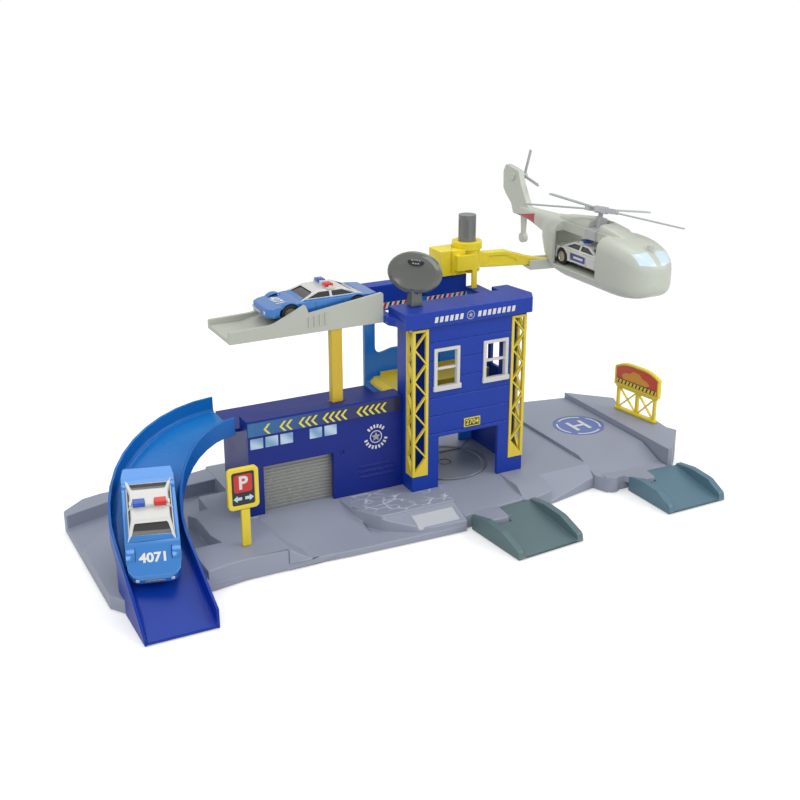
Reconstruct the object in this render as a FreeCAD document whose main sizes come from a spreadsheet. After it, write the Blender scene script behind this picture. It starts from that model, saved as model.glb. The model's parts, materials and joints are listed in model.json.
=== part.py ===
import FreeCAD, Part
import math
import os
import Sketcher

Vector = FreeCAD.Vector
Rotation = FreeCAD.Rotation
Placement = FreeCAD.Placement

doc = FreeCAD.newDocument("StationPlayset")
sheet = doc.addObject("Spreadsheet::Sheet", "Sizes")
UP = Vector(0, 0, 1)


class Size(float):
    """A length in mm that remembers the sheet expression it comes from."""

    def __new__(cls, value, text):
        size = float.__new__(cls, value)
        size.text = text
        return size

    def __add__(self, other):
        return Size(float(self) + float(other), f"({self.text} + {wording(other)})")

    def __sub__(self, other):
        return Size(float(self) - float(other), f"({self.text} - {wording(other)})")

    def __mul__(self, other):
        return Size(float(self) * float(other), f"({self.text} * {wording(other)})")

    def __truediv__(self, other):
        return Size(float(self) / float(other), f"({self.text} / {wording(other)})")

    def __radd__(self, other):
        return Size(float(other) + float(self), f"({wording(other)} + {self.text})")

    def __rsub__(self, other):
        return Size(float(other) - float(self), f"({wording(other)} - {self.text})")

    def __rmul__(self, other):
        return Size(float(other) * float(self), f"({wording(other)} * {self.text})")

    def __neg__(self):
        return Size(-float(self), f"(0 - {self.text})")


def wording(value):
    return value.text if isinstance(value, Size) else repr(round(float(value), 6))


rows_used = 0


def cell(alias, value, note):
    """One driving dimension: a row of the sheet with its name and its note."""
    global rows_used
    rows_used += 1
    sheet.set(f"A{rows_used}", note)
    sheet.set(f"B{rows_used}", str(value))
    sheet.setAlias(f"B{rows_used}", alias)
    return Size(value, f"Sizes.{alias}")


def bind(thing, name, value):
    if isinstance(value, Size):
        thing.setExpression(name, value.text)
    elif not name.startswith("Placement") and not name.startswith("Attachment"):
        setattr(thing, name, float(value))


def place(thing, x, y, z, turn=None):
    thing.Placement = Placement(Vector(x, y, z), turn or Rotation())
    for axis, value in (("x", x), ("y", y), ("z", z)):
        bind(thing, f"Placement.Base.{axis}", value)


def box(name, x, y, z):
    """A block between two x, two y and two z values."""
    block = doc.addObject("Part::Box", name)
    bind(block, "Length", x[1] - x[0])
    bind(block, "Width", y[1] - y[0])
    bind(block, "Height", z[1] - z[0])
    place(block, x[0], y[0], z[0])
    return block


def rod(name, centre, radius, span, axis="Z"):
    """A cylinder; centre gives the two coordinates across its axis."""
    tube = doc.addObject("Part::Cylinder", name)
    bind(tube, "Radius", radius)
    bind(tube, "Height", span[1] - span[0])
    if axis == "Z":
        place(tube, centre[0], centre[1], span[0])
    elif axis == "X":
        place(tube, span[0], centre[0], centre[1], Rotation(Vector(0, 1, 0), 90))
    else:
        place(tube, centre[0], span[0], centre[1], Rotation(Vector(1, 0, 0), -90))
    return tube


def frustum(name, low, foot, high, head, middle=0):
    """A tapering block; foot and head are each (left, right, half the depth)."""
    wedge = doc.addObject("Part::Wedge", name)
    wedge.Xmin, wedge.Xmax, wedge.Zmax = foot
    wedge.X2min, wedge.X2max, wedge.Z2max = head
    wedge.Zmin = -foot[2]
    wedge.Z2min = -head[2]
    wedge.Ymin, wedge.Ymax = low, high
    wedge.Placement = Placement(Vector(0, middle, 0), Rotation(Vector(1, 0, 0), 90))
    return wedge


def roller(name, centre, radius, span, axis="Y", flats=24):
    """A round drawn with many flats, between two levels along its axis."""
    tyre = doc.addObject("Part::Prism", name)
    tyre.Polygon = flats
    bind(tyre, "Circumradius", radius)
    bind(tyre, "Height", span[1] - span[0])
    if axis == "X":
        place(tyre, span[0], centre[0], centre[1], Rotation(Vector(0, 1, 0), 90))
    elif axis == "Y":
        place(tyre, centre[0], span[0], centre[1], Rotation(Vector(1, 0, 0), -90))
    else:
        place(tyre, centre[0], centre[1], span[0])
    return tyre


def fuse(name, pieces):
    whole = doc.addObject("Part::MultiFuse", name)
    whole.Shapes = pieces
    whole.Refine = True
    return whole


def cut(name, base, tools):
    tool = tools[0] if len(tools) == 1 else fuse(name + "_tools", tools)
    whole = doc.addObject("Part::Cut", name)
    whole.Base = base
    whole.Tool = tool
    whole.Refine = True
    return whole


def common(name, first, second):
    whole = doc.addObject("Part::MultiCommon", name)
    whole.Shapes = [first, second]
    return whole


def group(name, pieces):
    """Separate solids that are kept as one node."""
    whole = doc.addObject("Part::Compound", name)
    whole.Links = pieces
    return whole


def tangent_points(before, corner, after, radius):
    """Where an arc of this radius leaves and meets the two sides of a corner."""
    back = (before - corner).normalize()
    ahead = (after - corner).normalize()
    half = back.getAngle(ahead) / 2
    reach = radius / math.tan(half)
    middle = corner + (back + ahead).normalize() * (radius / math.sin(half))
    return corner + back * reach, corner + ahead * reach, middle


def draw_outline(sketch, corners):
    """A closed outline; a corner is (u, v) or (u, v, radius)."""
    spots = [Vector(c[0], c[1], 0) for c in corners]
    count = len(corners)
    starts = []
    ends = []
    middles = []
    for index, corner in enumerate(corners):
        if len(corner) == 2:
            starts.append(spots[index])
            ends.append(spots[index])
            middles.append(None)
            continue
        before = spots[index - 1]
        after = spots[(index + 1) % count]
        first, last, middle = tangent_points(before, spots[index], after, corner[2])
        starts.append(first)
        ends.append(last)
        middles.append(middle)
    lines = []
    for index in range(count):
        side = Part.LineSegment(ends[index], starts[(index + 1) % count])
        lines.append(sketch.addGeometry(side, False))
    for index, corner in enumerate(corners):
        arriving = lines[index - 1]
        leaving = lines[index]
        if middles[index] is None:
            sketch.addConstraint(Sketcher.Constraint("Coincident", arriving, 2, leaving, 1))
            fix_point(sketch, leaving, 1, corner)
            continue
        first = starts[index] - middles[index]
        last = ends[index] - middles[index]
        turns_left = first.cross(last).z > 0
        circle = Part.Circle(middles[index], UP, corner[2])
        low, high = (first, last) if turns_left else (last, first)
        sweep = Part.ArcOfCircle(
            circle, math.atan2(low.y, low.x), math.atan2(high.y, high.x)
        )
        arc = sketch.addGeometry(sweep, False)
        near, far = (1, 2) if turns_left else (2, 1)
        sketch.addConstraint(Sketcher.Constraint("Tangent", arriving, 2, arc, near))
        sketch.addConstraint(Sketcher.Constraint("Tangent", leaving, 1, arc, far))
        radius = sketch.addConstraint(Sketcher.Constraint("Radius", arc, float(corner[2])))
        bind_constraint(sketch, radius, corner[2])
        spot = sketch.addGeometry(Part.Point(spots[index]), True)
        sketch.addConstraint(Sketcher.Constraint("PointOnObject", spot, 1, arriving))
        sketch.addConstraint(Sketcher.Constraint("PointOnObject", spot, 1, leaving))
        fix_point(sketch, spot, 1, corner)


def fix_point(sketch, element, end, corner):
    for kind, value in (("DistanceX", corner[0]), ("DistanceY", corner[1])):
        number = sketch.addConstraint(
            Sketcher.Constraint(kind, -1, 1, element, end, float(value))
        )
        bind_constraint(sketch, number, value)


def bind_constraint(sketch, number, value):
    if isinstance(value, Size):
        sketch.setExpression(f"Constraints[{number}]", value.text)


def new_sketch(body, name, plane, level):
    """A sketch on one of the body's planes, moved along that plane's own axis."""
    sketch = body.newObject("Sketcher::SketchObject", name)
    role = f"{plane}_Plane"
    face = [part for part in body.Origin.OriginFeatures if part.Role == role][0]
    sketch.AttachmentSupport = [(face, "")]
    sketch.MapMode = "FlatFace"
    away = -level if plane == "XZ" else level
    sketch.AttachmentOffset = Placement(Vector(0, 0, away), Rotation())
    if isinstance(away, Size):
        sketch.setExpression("AttachmentOffset.Base.z", away.text)
    return sketch


def prism(name, plane, corners, span):
    """A padded outline on the XY, XZ or YZ plane between two levels across it."""
    body = doc.addObject("PartDesign::Body", name)
    level = span[1] if plane == "XZ" else span[0]
    sketch = new_sketch(body, name + "_outline", plane, level)
    draw_outline(sketch, corners)
    pad = body.newObject("PartDesign::Pad", name + "_pad")
    pad.Profile = sketch
    bind(pad, "Length", span[1] - span[0])
    sketch.Visibility = False
    return body


def rect(x, y, radius=None):
    """The four corners of a rectangle, rounded when a radius is given."""
    spots = [(x[0], y[0]), (x[1], y[0]), (x[1], y[1]), (x[0], y[1])]
    return [(u, v, radius) for u, v in spots] if radius else spots


sub_parts = []


def keep(thing, label):
    thing.Label = label
    sub_parts.append(thing)
    return thing


def flat_faces(corners):
    """One face over four corners, or two where the four do not lie in a plane."""
    a, b, c, d = corners
    normal = (b - a).cross(c - a)
    if abs(normal.dot(d - a)) < 1e-7 * max(normal.Length, 1):
        return [Part.Face(Part.makePolygon([a, b, c, d, a]))]
    return [Part.Face(Part.makePolygon(spots)) for spots in ([a, b, c, a], [a, c, d, a])]


def banded(rings):
    """A solid skinned with flat bands over rings of points that follow one another."""
    faces = [Part.Face(Part.makePolygon(ring + ring[:1])) for ring in (rings[0], rings[-1])]
    for near, far in zip(rings, rings[1:]):
        ahead = zip(near, near[1:] + near[:1], far[1:] + far[:1], far)
        for corners in ahead:
            faces += flat_faces(corners)
    solid = Part.Solid(Part.Shell(faces))
    if solid.Volume < 0:
        solid.reverse()
    return solid


def arc_spots(centre, first, second, radius, chords):
    """Points along a quarter circle that starts toward first and ends toward second."""
    angles = [math.pi / 2 * step / chords for step in range(chords + 1)]
    return [
        centre + (first * math.cos(angle) + second * math.sin(angle)) * radius
        for angle in angles
    ]


def made_shape(name, shape):
    """A form that is worked out in code."""
    feature = doc.addObject("Part::Feature", name)
    feature.Shape = shape
    return feature


# The floor of the set: three hollow trays side by side, moulded in grey plastic.
deck = cell("deck_height", 14, "top of the main deck over the table")
road = cell("road_height", 4, "top of the low road in the left tray")
ledge = cell("ledge_height", 13, "top of the rear ledge and the sign island")
mound = cell("mound_height", 8, "top of the mound under the slide")
step = cell("step_height", 7, "top of the front wall of the paved corner")
skin = cell("tray_skin", 2.2, "wall of a moulded tray")
tab = cell("tab_height", 9, "top of the tabs that carry the exit ramps")
pad = cell("helipad_height", 16, "top of the landing lane")
kerb = cell("kerb_height", 20, "top of the kerb beside the landing lane")
left_end = cell("left_end", -194, "left end of the set")
first_joint = cell("first_joint", 18, "joint of the left and middle trays")
second_joint = cell("second_joint", 120, "joint of the middle and right trays")
right_end = cell("right_end", 198, "right end of the set")
rear = cell("rear_edge", 95, "rear edge of the trays")
rib = cell("rib_thickness", 2, "ribs on the underside")
below = -1


def pockets(name, x, y, columns, rows, ceiling):
    """Hollows on the underside, with the ribs left standing between them."""
    width = (x[1] - x[0] - rib * (columns - 1)) / columns
    depth = (y[1] - y[0] - rib * (rows - 1)) / rows
    hollows = []
    for column in range(columns):
        for row in range(rows):
            left = x[0] + (width + rib) * column
            front = y[0] + (depth + rib) * row
            hollows.append(
                box(
                    f"{name}_{column}_{row}",
                    (left, left + width),
                    (front, front + depth),
                    (below, ceiling),
                )
            )
    return hollows


def make_base_left():
    garage_left = -99
    apron_back = 13
    outline = [
        (left_end, -28), (-188, -37), (-142, -36), (-119, -32.5), (-75, -32.5),
        (-57, -33.8), (-8, -35.5), (first_joint, -36), (first_joint, rear), (-93, rear),
        (-125, 89), (-168, 88), (-180, 85), (left_end, 73),
    ]
    plate = prism("left_plate", "XY", outline, (0, road))
    ledge_block = prism(
        "left_ledge", "XY",
        [(left_end, 66), (-165, 75), (-114, 75), (-93, 77), (-93, rear), (-125, 89),
         (-168, 88), (-180, 85), (left_end, 73)],
        (0, ledge),
    )
    deck_block = prism(
        "left_deck", "XY",
        [(garage_left, apron_back), (-43.5, apron_back), (-41.5, -4, 20), (-30, -22, 16),
         (-10, -34.6, 30), (first_joint, -36), (first_joint, rear), (garage_left, rear)],
        (0, deck),
    )
    island = prism(
        "left_island", "XY",
        [(-142, -36), (-128, -33), (-119, -32.5), (-94, -32.5), (-94, apron_back),
         (garage_left, apron_back), (garage_left, 56), (-117, 56), (-117, 38),
         (-131, 34), (-127, 28), (-127, 4), (-124, -7), (-142, -7)],
        (0, ledge),
    )
    mound_block = prism(
        "left_mound", "XY",
        [(left_end, -28), (-188, -37), (-142, -36), (-142, 28), (-160, 46),
         (-172, 48), (-181, 44), (left_end, 29)],
        (0, mound),
    )
    apron = prism(
        "door_apron", "YZ",
        [(-32.6, 0), (apron_back, 0), (apron_back, deck), (-32.6, 0.8)], (-94, -38),
    )
    fairing = prism(
        "island_fairing", "XZ",
        [(-94, 0), (-76, 0), (-76, 1), (-94, ledge)], (-32.4, -19),
    )
    solid = fuse(
        "left_solid",
        [plate, ledge_block, deck_block, island, mound_block, apron, fairing],
    )
    front_slope = prism(
        "corner_slope", "YZ",
        [(-40, step - 1.4), (-20.5, deck - 1.6), (-20.5, deck + 6), (-40, deck + 6)],
        (-40, first_joint),
    )
    paved_panel = prism(
        "paved_panel", "YZ",
        [(-33.5, step + 0.1), (-23, deck - 3.2), (-23, deck + 2), (-33.5, deck + 2)],
        (-13, 15),
    )
    hollows = (
        pockets("garage_hollow", (-96.5, first_joint - rib), (58, rear - rib), 2, 1, deck - skin)
        + pockets("floor_hollow", (-96.5, first_joint - rib), (16, 56), 2, 1, deck - skin)
        + pockets("corner_hollow", (-26, first_joint - rib), (-17, 14), 1, 1, deck - skin)
        + pockets("island_hollow", (-122, -97), (-29, 10), 1, 1, ledge - skin)
        + pockets("ledge_hollow", (-178, -97), (79, 85), 1, 1, ledge - skin)
        + pockets("mound_hollow", (-184, -145), (-32, 26), 1, 1, mound - skin)
    )
    tray = cut("left_tray", solid, [front_slope, paved_panel] + hollows)
    boss = rod("corner_boss", (0, 0), 6, (0, deck - skin))
    keep(fuse("base_left", [tray, boss]), "base_left")


def make_base_centre():
    outline = [
        (first_joint, -33), (62, -30), (66, -31), (84, -28), (second_joint, -20.5),
        (second_joint, rear), (first_joint, rear),
    ]
    plate = prism("centre_plate", "XY", outline, (0, deck))
    tab_block = prism(
        "front_tab", "XY", [(23.4, -32), (27, -46, 1.5), (41, -46.5, 1.5), (42.6, -30)],
        (tab - 4, tab),
    )
    solid = fuse("centre_solid", [plate, tab_block])
    lane = prism(
        "drive_through_lane", "YZ",
        [(-50, tab), (-31, tab), (2, deck), (2, deck + 6), (-50, deck + 6)],
        (first_joint - 1, 62),
    )
    front_slope = prism(
        "centre_slope", "YZ",
        [(-40, 0), (-30.5, 0), (-13, deck), (-13, deck + 6), (-40, deck + 6)],
        (83, second_joint + 1),
    )
    block_slope = prism(
        "block_slope", "YZ",
        [(-40, 6), (-31, 8), (-19, deck), (-19, deck + 6), (-40, deck + 6)],
        (61, 83.5),
    )
    hollows = (
        pockets("centre_hollow", (first_joint + rib, second_joint - rib), (4, rear - rib), 2, 1,
                deck - skin)
        + pockets("lane_hollow", (first_joint + rib, 60), (-29, 2), 1, 1, tab - skin)
        + pockets("block_hollow", (64, second_joint - rib), (-12, 2), 1, 1, deck - skin)
    )
    pin_radius = cell("turntable_pin", 4, "radius of the turntable's pivot")
    bore = rod("turntable_bore", (turntable_x, turntable_y), pin_radius + 0.05, (below, deck + 1))
    tray = cut("centre_cut", solid, [lane, front_slope, block_slope] + hollows)
    boss = rod("turntable_boss", (turntable_x, turntable_y), pin_radius + 3, (0, deck - 1))
    bossed = fuse("centre_bossed", [tray, boss])
    keep(cut("base_centre", bossed, [bore]), "base_centre")
    return pin_radius


def make_base_right():
    kerb_left = 172
    lane_block = prism(
        "landing_lane", "XY",
        [(second_joint, -20.5), (124, -30), (171, -30), (kerb_left, 89), (141, rear),
         (second_joint, rear)],
        (0, pad),
    )
    kerb_block = prism(
        "landing_kerb", "XY",
        [(kerb_left, -29), (176, -28), (right_end, -5, 2), (195, 2), (197, 20),
         (189.5, 46), (197, 64), (kerb_left, 89)],
        (0, kerb),
    )
    tab_block = prism(
        "side_tab", "XY", [(135.7, -28), (141.7, -41, 1.5), (152.7, -41, 1.5), (154.7, -28)],
        (tab - 4, tab),
    )
    lug = rod("joint_lug", (129, -27), 5, (0, tab + 0.5))
    solid = fuse("right_solid", [lane_block, kerb_block, tab_block])
    lane_slope = prism(
        "landing_slope", "YZ",
        [(-42, tab), (-22, tab), (-3, pad), (-3, kerb), (-42, kerb)],
        (second_joint - 1, kerb_left),
    )
    hollows = pockets(
        "right_hollow", (second_joint + rib, 168), (-1, 86), 1, 2, pad - skin
    ) + pockets("kerb_hollow", (173, 187), (-20, 70), 1, 1, kerb - skin) + pockets(
        "slope_hollow", (136, 168), (-27, -4), 1, 1, tab - skin
    )
    shaped = cut("right_cut", solid, [lane_slope] + hollows)
    helipad_recess = roller("helipad_recess", (150, 40), 17.6, (pad - 0.4, pad + 1), "Z", 60)
    with_lug = fuse("right_lugged", [shaped, lug])
    keep(cut("base_right", with_lug, [helipad_recess]), "base_right")


turntable_x = cell("turntable_x", 39, "centre of the turntable")
turntable_y = cell("turntable_y", 30, "centre of the turntable")
turntable_radius = cell("turntable_radius", 27, "outer radius of the turntable")
turntable_top = cell("turntable_top", 15.4, "top of the turntable's rim")


def make_turntable(pin_radius):
    """A disc with a raised rim, on a pivot that drops into the tray's boss."""
    gap = 0.3
    spot = (turntable_x, turntable_y)
    disc = roller("disc", spot, turntable_radius, (deck + gap, turntable_top), "Z", 60)
    hollow = roller(
        "disc_recess", spot, turntable_radius - 3, (turntable_top - 0.5, turntable_top + 1), "Z", 60,
    )
    pivot = rod("disc_pivot", (turntable_x, turntable_y), pin_radius, (deck - 8, deck + 1))
    lane_mark = box(
        "disc_kerb_rear", (turntable_x - 20, turntable_x + 20),
        (turntable_y + 14, turntable_y + 15.5), (deck + 0.5, turntable_top - 0.1),
    )
    dished = cut("disc_dished", disc, [hollow])
    keep(fuse("turntable", [dished, pivot, lane_mark]), "turntable")


make_base_left()
pin_radius = make_base_centre()
make_base_right()
make_turntable(pin_radius)


# The garage: a blue front wall with its door, an end wall and a roof that cars run on.
garage_left = cell("garage_left", -99, "outer face of the garage's end wall")
garage_front = cell("garage_front", 13, "front face of the garage")
garage_rear = cell("garage_rear", 56, "rear edge of the garage roof")
garage_wall = cell("garage_wall", 2.5, "wall of the garage")
roof_lane = cell("roof_lane", 66, "top of the lane on the garage roof")
fascia_top = cell("fascia_top", 73.5, "top of the kerb over the garage door")
fascia_bottom = cell("fascia_bottom", 63.5, "lower edge of that kerb")
fascia_front = cell("fascia_front", 12, "front face of that kerb")
fascia_back = cell("fascia_back", 24, "back face of that kerb")
door_left = cell("door_left", -90, "left edge of the door opening")
door_right = cell("door_right", -46, "right edge of the door opening")
door_top = cell("door_top", 44, "top of the door opening")
door_face = cell("door_face", 17.5, "front face of the roller door")
door_thickness = cell("door_thickness", 1.8, "thickness of the roller door")
slat = cell("slat_pitch", 2.2, "pitch of the door's slats")


def make_garage():
    wall = prism(
        "front_wall_plate", "XZ",
        rect((garage_left, -0.2), (deck, fascia_bottom)),
        (garage_front, garage_front + garage_wall),
    )
    doorway = box(
        "doorway", (door_left, door_right), (garage_front - 1, garage_front + garage_wall + 1),
        (deck - 1, door_top),
    )
    peephole = box("lamp_hole", (-41.5, -39), (garage_front - 1, garage_front + 1), (42, 44.5))
    louvres = [
        box(f"louvre_{row}", (-29, -6), (garage_front - 0.8, garage_front + 0.1),
            (24 + 3.4 * row, 25.2 + 3.4 * row))
        for row in range(3)
    ]
    pierced = cut("front_wall_cut", wall, [doorway, peephole])
    keep(fuse("garage_front_wall", [pierced] + louvres), "garage_front_wall")

    end_wall = prism(
        "end_wall_plate", "YZ",
        rect((garage_front + garage_wall, garage_rear), (deck, roof_lane - 2)),
        (garage_left, garage_left + garage_wall),
    )
    keep(end_wall, "garage_end_wall")

    channel = prism(
        "roof_channel", "YZ",
        [(fascia_front, fascia_bottom), (fascia_front, fascia_top, 0.8),
         (fascia_back, fascia_top, 0.8), (fascia_back, roof_lane), (garage_rear, roof_lane),
         (garage_rear, roof_lane - 2), (fascia_back - 1.8, roof_lane - 2),
         (fascia_back - 1.8, fascia_top - 1.8), (fascia_front + 1.5, fascia_top - 1.8),
         (fascia_front + 1.5, fascia_bottom)],
        (garage_left - 0.5, -5),
    )
    lane_lip = box("lane_lip", (-103, garage_left + 1), (fascia_back, garage_rear),
                   (roof_lane - 2, roof_lane))
    kerb_cap = prism(
        "kerb_cap", "YZ",
        [(fascia_front + 0.4, fascia_bottom), (fascia_front + 0.4, fascia_top - 0.6),
         (fascia_back - 0.4, fascia_top - 0.6), (fascia_back - 0.4, roof_lane - 2),
         (garage_front + garage_wall, roof_lane - 2),
         (garage_front + garage_wall, fascia_bottom)],
        (garage_left - 0.5, garage_left + 1.3),
    )
    kerb_end = box("kerb_to_tower", (-5, -0.2), (fascia_front, fascia_back),
                   (fascia_bottom, fascia_top))
    kerb_void = box("kerb_void", (-6, 1), (fascia_front + 1.5, fascia_back - 1.8),
                    (fascia_bottom - 1, fascia_top - 1.8))
    kerb_trimmed = cut("kerb_end_cut", kerb_end, [kerb_void])
    column_seat = box("column_seat", (-44, -36), (17.2, 22), (fascia_top - 3, fascia_top))
    keep(fuse("garage_roof", [channel, lane_lip, kerb_cap, kerb_trimmed, column_seat]),
         "garage_roof")


def make_roller_door():
    """A slatted panel: one groove, repeated up the panel's height."""
    overlap = 1.8
    body = doc.addObject("PartDesign::Body", "roller_door")
    face = new_sketch(body, "door_outline", "XZ", door_face + door_thickness)
    low = deck + 0.3
    high = door_top + 1.2
    draw_outline(face, rect((door_left - overlap, door_right + overlap), (low, high)))
    panel = body.newObject("PartDesign::Pad", "door_panel")
    panel.Profile = face
    bind(panel, "Length", door_thickness)
    groove_sketch = new_sketch(body, "groove_outline", "XZ", door_face + 0.5)
    draw_outline(
        groove_sketch,
        rect((door_left - overlap - 1, door_right + overlap + 1), (low + slat - 0.6, low + slat)),
    )
    groove = body.newObject("PartDesign::Pocket", "door_groove")
    groove.Profile = groove_sketch
    groove.Length = 2
    groove.Reversed = True
    slats = body.newObject("PartDesign::LinearPattern", "door_slats")
    slats.Originals = [groove]
    slats.Direction = (groove_sketch, ["V_Axis"])
    slats.Occurrences = 13
    bind(slats, "Length", slat * 12)
    body.Tip = slats
    keep(body, "roller_door")
    channels = []
    for side, outer in (("left", door_left - 4), ("right", door_right + 4)):
        inward = 1 if side == "left" else -1
        ends = sorted((float(outer), float(outer) + 3.6 * inward))
        slot_ends = sorted((float(outer) + 1.2 * inward, float(outer) + 4 * inward))
        block = box(
            f"{side}_guide_block", ends,
            (garage_front + garage_wall, door_face + door_thickness + 2),
            (deck, roof_lane + 3.5),
        )
        slot = box(
            f"{side}_guide_slot", slot_ends,
            (door_face - 0.3, door_face + door_thickness + 0.3), (deck - 1, fascia_top),
        )
        channels.append(cut(f"{side}_guide", block, [slot]))
    keep(group("door_guides", channels), "door_guides")


make_garage()
make_roller_door()


# The tower: a blue front with a car-sized opening, stubby side walls and a cornice.
tower_width = cell("tower_width", 78, "width of the tower's front")
tower_top = cell("tower_top", 118, "top of the tower's walls")
tower_wall = cell("tower_wall", 2.5, "wall of the tower")
tower_depth = cell("tower_depth", 20, "depth of the tower's left side wall")
shaft_back = cell("shaft_back", 58.2, "front face of the lift shaft's rear panel")
opening_left = cell("opening_left", 18, "left edge of the drive-through")
opening_right = cell("opening_right", 59.8, "right edge of the drive-through")
opening_top = cell("opening_top", 47, "top of the drive-through")
window_width = cell("window_width", 17.4, "width of a window with its frame")
window_low = cell("window_low", 77.5, "lower edge of the windows")
window_high = cell("window_high", 103.5, "upper edge of the windows")
left_window = cell("left_window", 14.2, "left edge of the left window")
right_window = cell("right_window", 47.9, "left edge of the right window")
truss_width = cell("truss_width", 10.4, "width of a corner truss on the front")
truss_depth = cell("truss_depth", 8.6, "width of a corner truss on the side")
truss_low = cell("truss_low", 23.8, "foot of the corner trusses")
truss_high = cell("truss_high", 116.4, "head of the corner trusses")
frame_bar = cell("frame_bar", 2, "width of a window frame's bars")


def make_tower():
    outer = box("tower_outer", (0, tower_width), (0, tower_depth), (deck, tower_top))
    inner = box(
        "tower_inner", (tower_wall, tower_width - tower_wall), (tower_wall, tower_depth + 1),
        (deck - 1, tower_top + 1),
    )
    shell = cut("tower_shell", outer, [inner])
    post_wall = 2.1
    posts = [
        box("left_post", (0, truss_width + post_wall), (0, truss_depth + post_wall),
            (deck, tower_top)),
        box("right_post", (tower_width - truss_width - post_wall, tower_width),
            (0, truss_depth + post_wall), (deck, tower_top)),
    ]
    side_wall = prism(
        "right_side_wall", "YZ",
        rect((tower_depth, shaft_back), (deck, tower_top)),
        (tower_width - tower_wall, tower_width),
    )
    side_windows = [
        box(f"side_window_{index}", (tower_width - tower_wall - 1, tower_width + 1),
            (low, low + 14), (74, 112))
        for index, low in enumerate((23, 40))
    ]
    walls = fuse("tower_shell", [shell, side_wall] + posts)
    notches = [
        box("left_notch", (-1, truss_width), (-1, truss_depth), (truss_low, truss_high)),
        box("right_notch", (tower_width - truss_width, tower_width + 1), (-1, truss_depth),
            (truss_low, truss_high)),
    ]
    opening = box("drive_through", (opening_left, opening_right), (-1, tower_wall + 1),
                  (deck - 1, opening_top))
    windows = [
        box(f"window_hole_{index}", (left, left + window_width), (-1, tower_wall + 1),
            (window_low, window_high))
        for index, left in enumerate((left_window, right_window))
    ]
    plate_seat = box("plate_seat", (35.4, 46.7), (-1, 0.6), (50.2, 56))
    plank_pitch = 11.6
    planks = [
        box(f"plank_joint_{row}", (truss_width + 0.6, tower_width - truss_width - 0.6),
            (-1, 0.5), (49 + plank_pitch * row, 49.7 + plank_pitch * row))
        for row in range(6)
    ]
    keep(
        cut("tower_walls_cut", walls,
            side_windows + notches + [opening, plate_seat] + windows + planks),
        "tower_walls",
    )

    frames = []
    for index, left in enumerate((left_window, right_window)):
        right = left + window_width
        border = box(f"frame_border_{index}", (left, right), (-0.8, tower_wall),
                     (window_low, window_high))
        light = box(f"frame_light_{index}", (left + frame_bar, right - frame_bar),
                    (-2, tower_wall + 1), (window_low + frame_bar, window_high - frame_bar))
        ring = cut(f"frame_ring_{index}", border, [light])
        middle = (window_low + window_high) / 2
        rail = box(f"frame_rail_{index}", (left + 1, right - 1), (0.6, tower_wall - 0.4),
                   (middle - 0.8, middle + 0.8))
        sill = box(f"frame_sill_{index}", (left - 0.6, right + 0.6), (-1.8, 0),
                   (window_low - 0.4, window_low + 2.6))
        frames.append(fuse(f"window_frame_{index}", [ring, rail, sill]))
    keep(group("window_frames", frames), "window_frames")
    keep(box("number_plate", (35.4, 46.7), (-0.4, 0.6), (50.2, 56)), "number_plate")


def lattice_face(name, plane, width, side, wall):
    """A flat ladder of crossing struts: a plate with one triangle repeated up each chord."""
    chord = 1.7
    strut = 1.3
    bays = 9
    height = truss_high - truss_low
    gusset = 1.5
    pitch = (height - 2 * gusset) / bays
    body = doc.addObject("PartDesign::Body", name)
    sketch = new_sketch(body, name + "_plate", plane, wall)
    near, far = (0, width) if side > 0 else (-width, 0)
    draw_outline(sketch, rect((near, far), (0, height)))
    plate = body.newObject("PartDesign::Pad", name + "_pad")
    plate.Profile = sketch
    bind(plate, "Length", truss_wall)
    last = plate
    for holes, start, count in (("outer", 0, 5), ("inner", 1, 4)):
        low = gusset + pitch * start
        base = near + chord if holes == "outer" else far - chord
        tip = far - chord if holes == "outer" else near + chord
        if side < 0:
            base, tip = tip, base
        hole = new_sketch(body, f"{name}_{holes}", plane, wall)
        middle = low + pitch
        run = pitch - strut
        draw_outline(hole, [(base, middle - run), (tip, middle), (base, middle + run)])
        pocket = body.newObject("PartDesign::Pocket", f"{name}_{holes}_hole")
        pocket.Profile = hole
        pocket.Type = "ThroughAll"
        pocket.Midplane = True
        repeat = body.newObject("PartDesign::LinearPattern", f"{name}_{holes}_row")
        repeat.Originals = [pocket]
        repeat.Direction = (hole, ["V_Axis"])
        repeat.Occurrences = count
        bind(repeat, "Length", pitch * 2 * (count - 1))
        last = repeat
    body.Tip = last
    return body


truss_wall = cell("truss_wall", 1.8, "thickness of the truss mouldings")


def make_trusses():
    front_proud = 0.4
    for label, corner, side in (("left_corner_truss", 0, 1), ("right_corner_truss", tower_width, -1)):
        front = lattice_face(f"{label}_front", "XZ", truss_width, side, truss_wall - front_proud)
        flank = lattice_face(f"{label}_flank", "YZ", truss_depth, 1, 0)
        place(front, corner, 0, truss_low)
        inset = 0 if side > 0 else -truss_wall
        place(flank, corner + inset, 0, truss_low)
        foot = box(f"{label}_foot", sorted((float(corner), float(corner + side * truss_width))),
                   (0, truss_depth), (truss_low, truss_low + 1.5))
        head = box(f"{label}_head", sorted((float(corner), float(corner + side * truss_width))),
                   (0, truss_depth), (truss_high - 1.5, truss_high))
        keep(fuse(label, [front, flank, foot, head]), label)


make_tower()
make_trusses()


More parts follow.
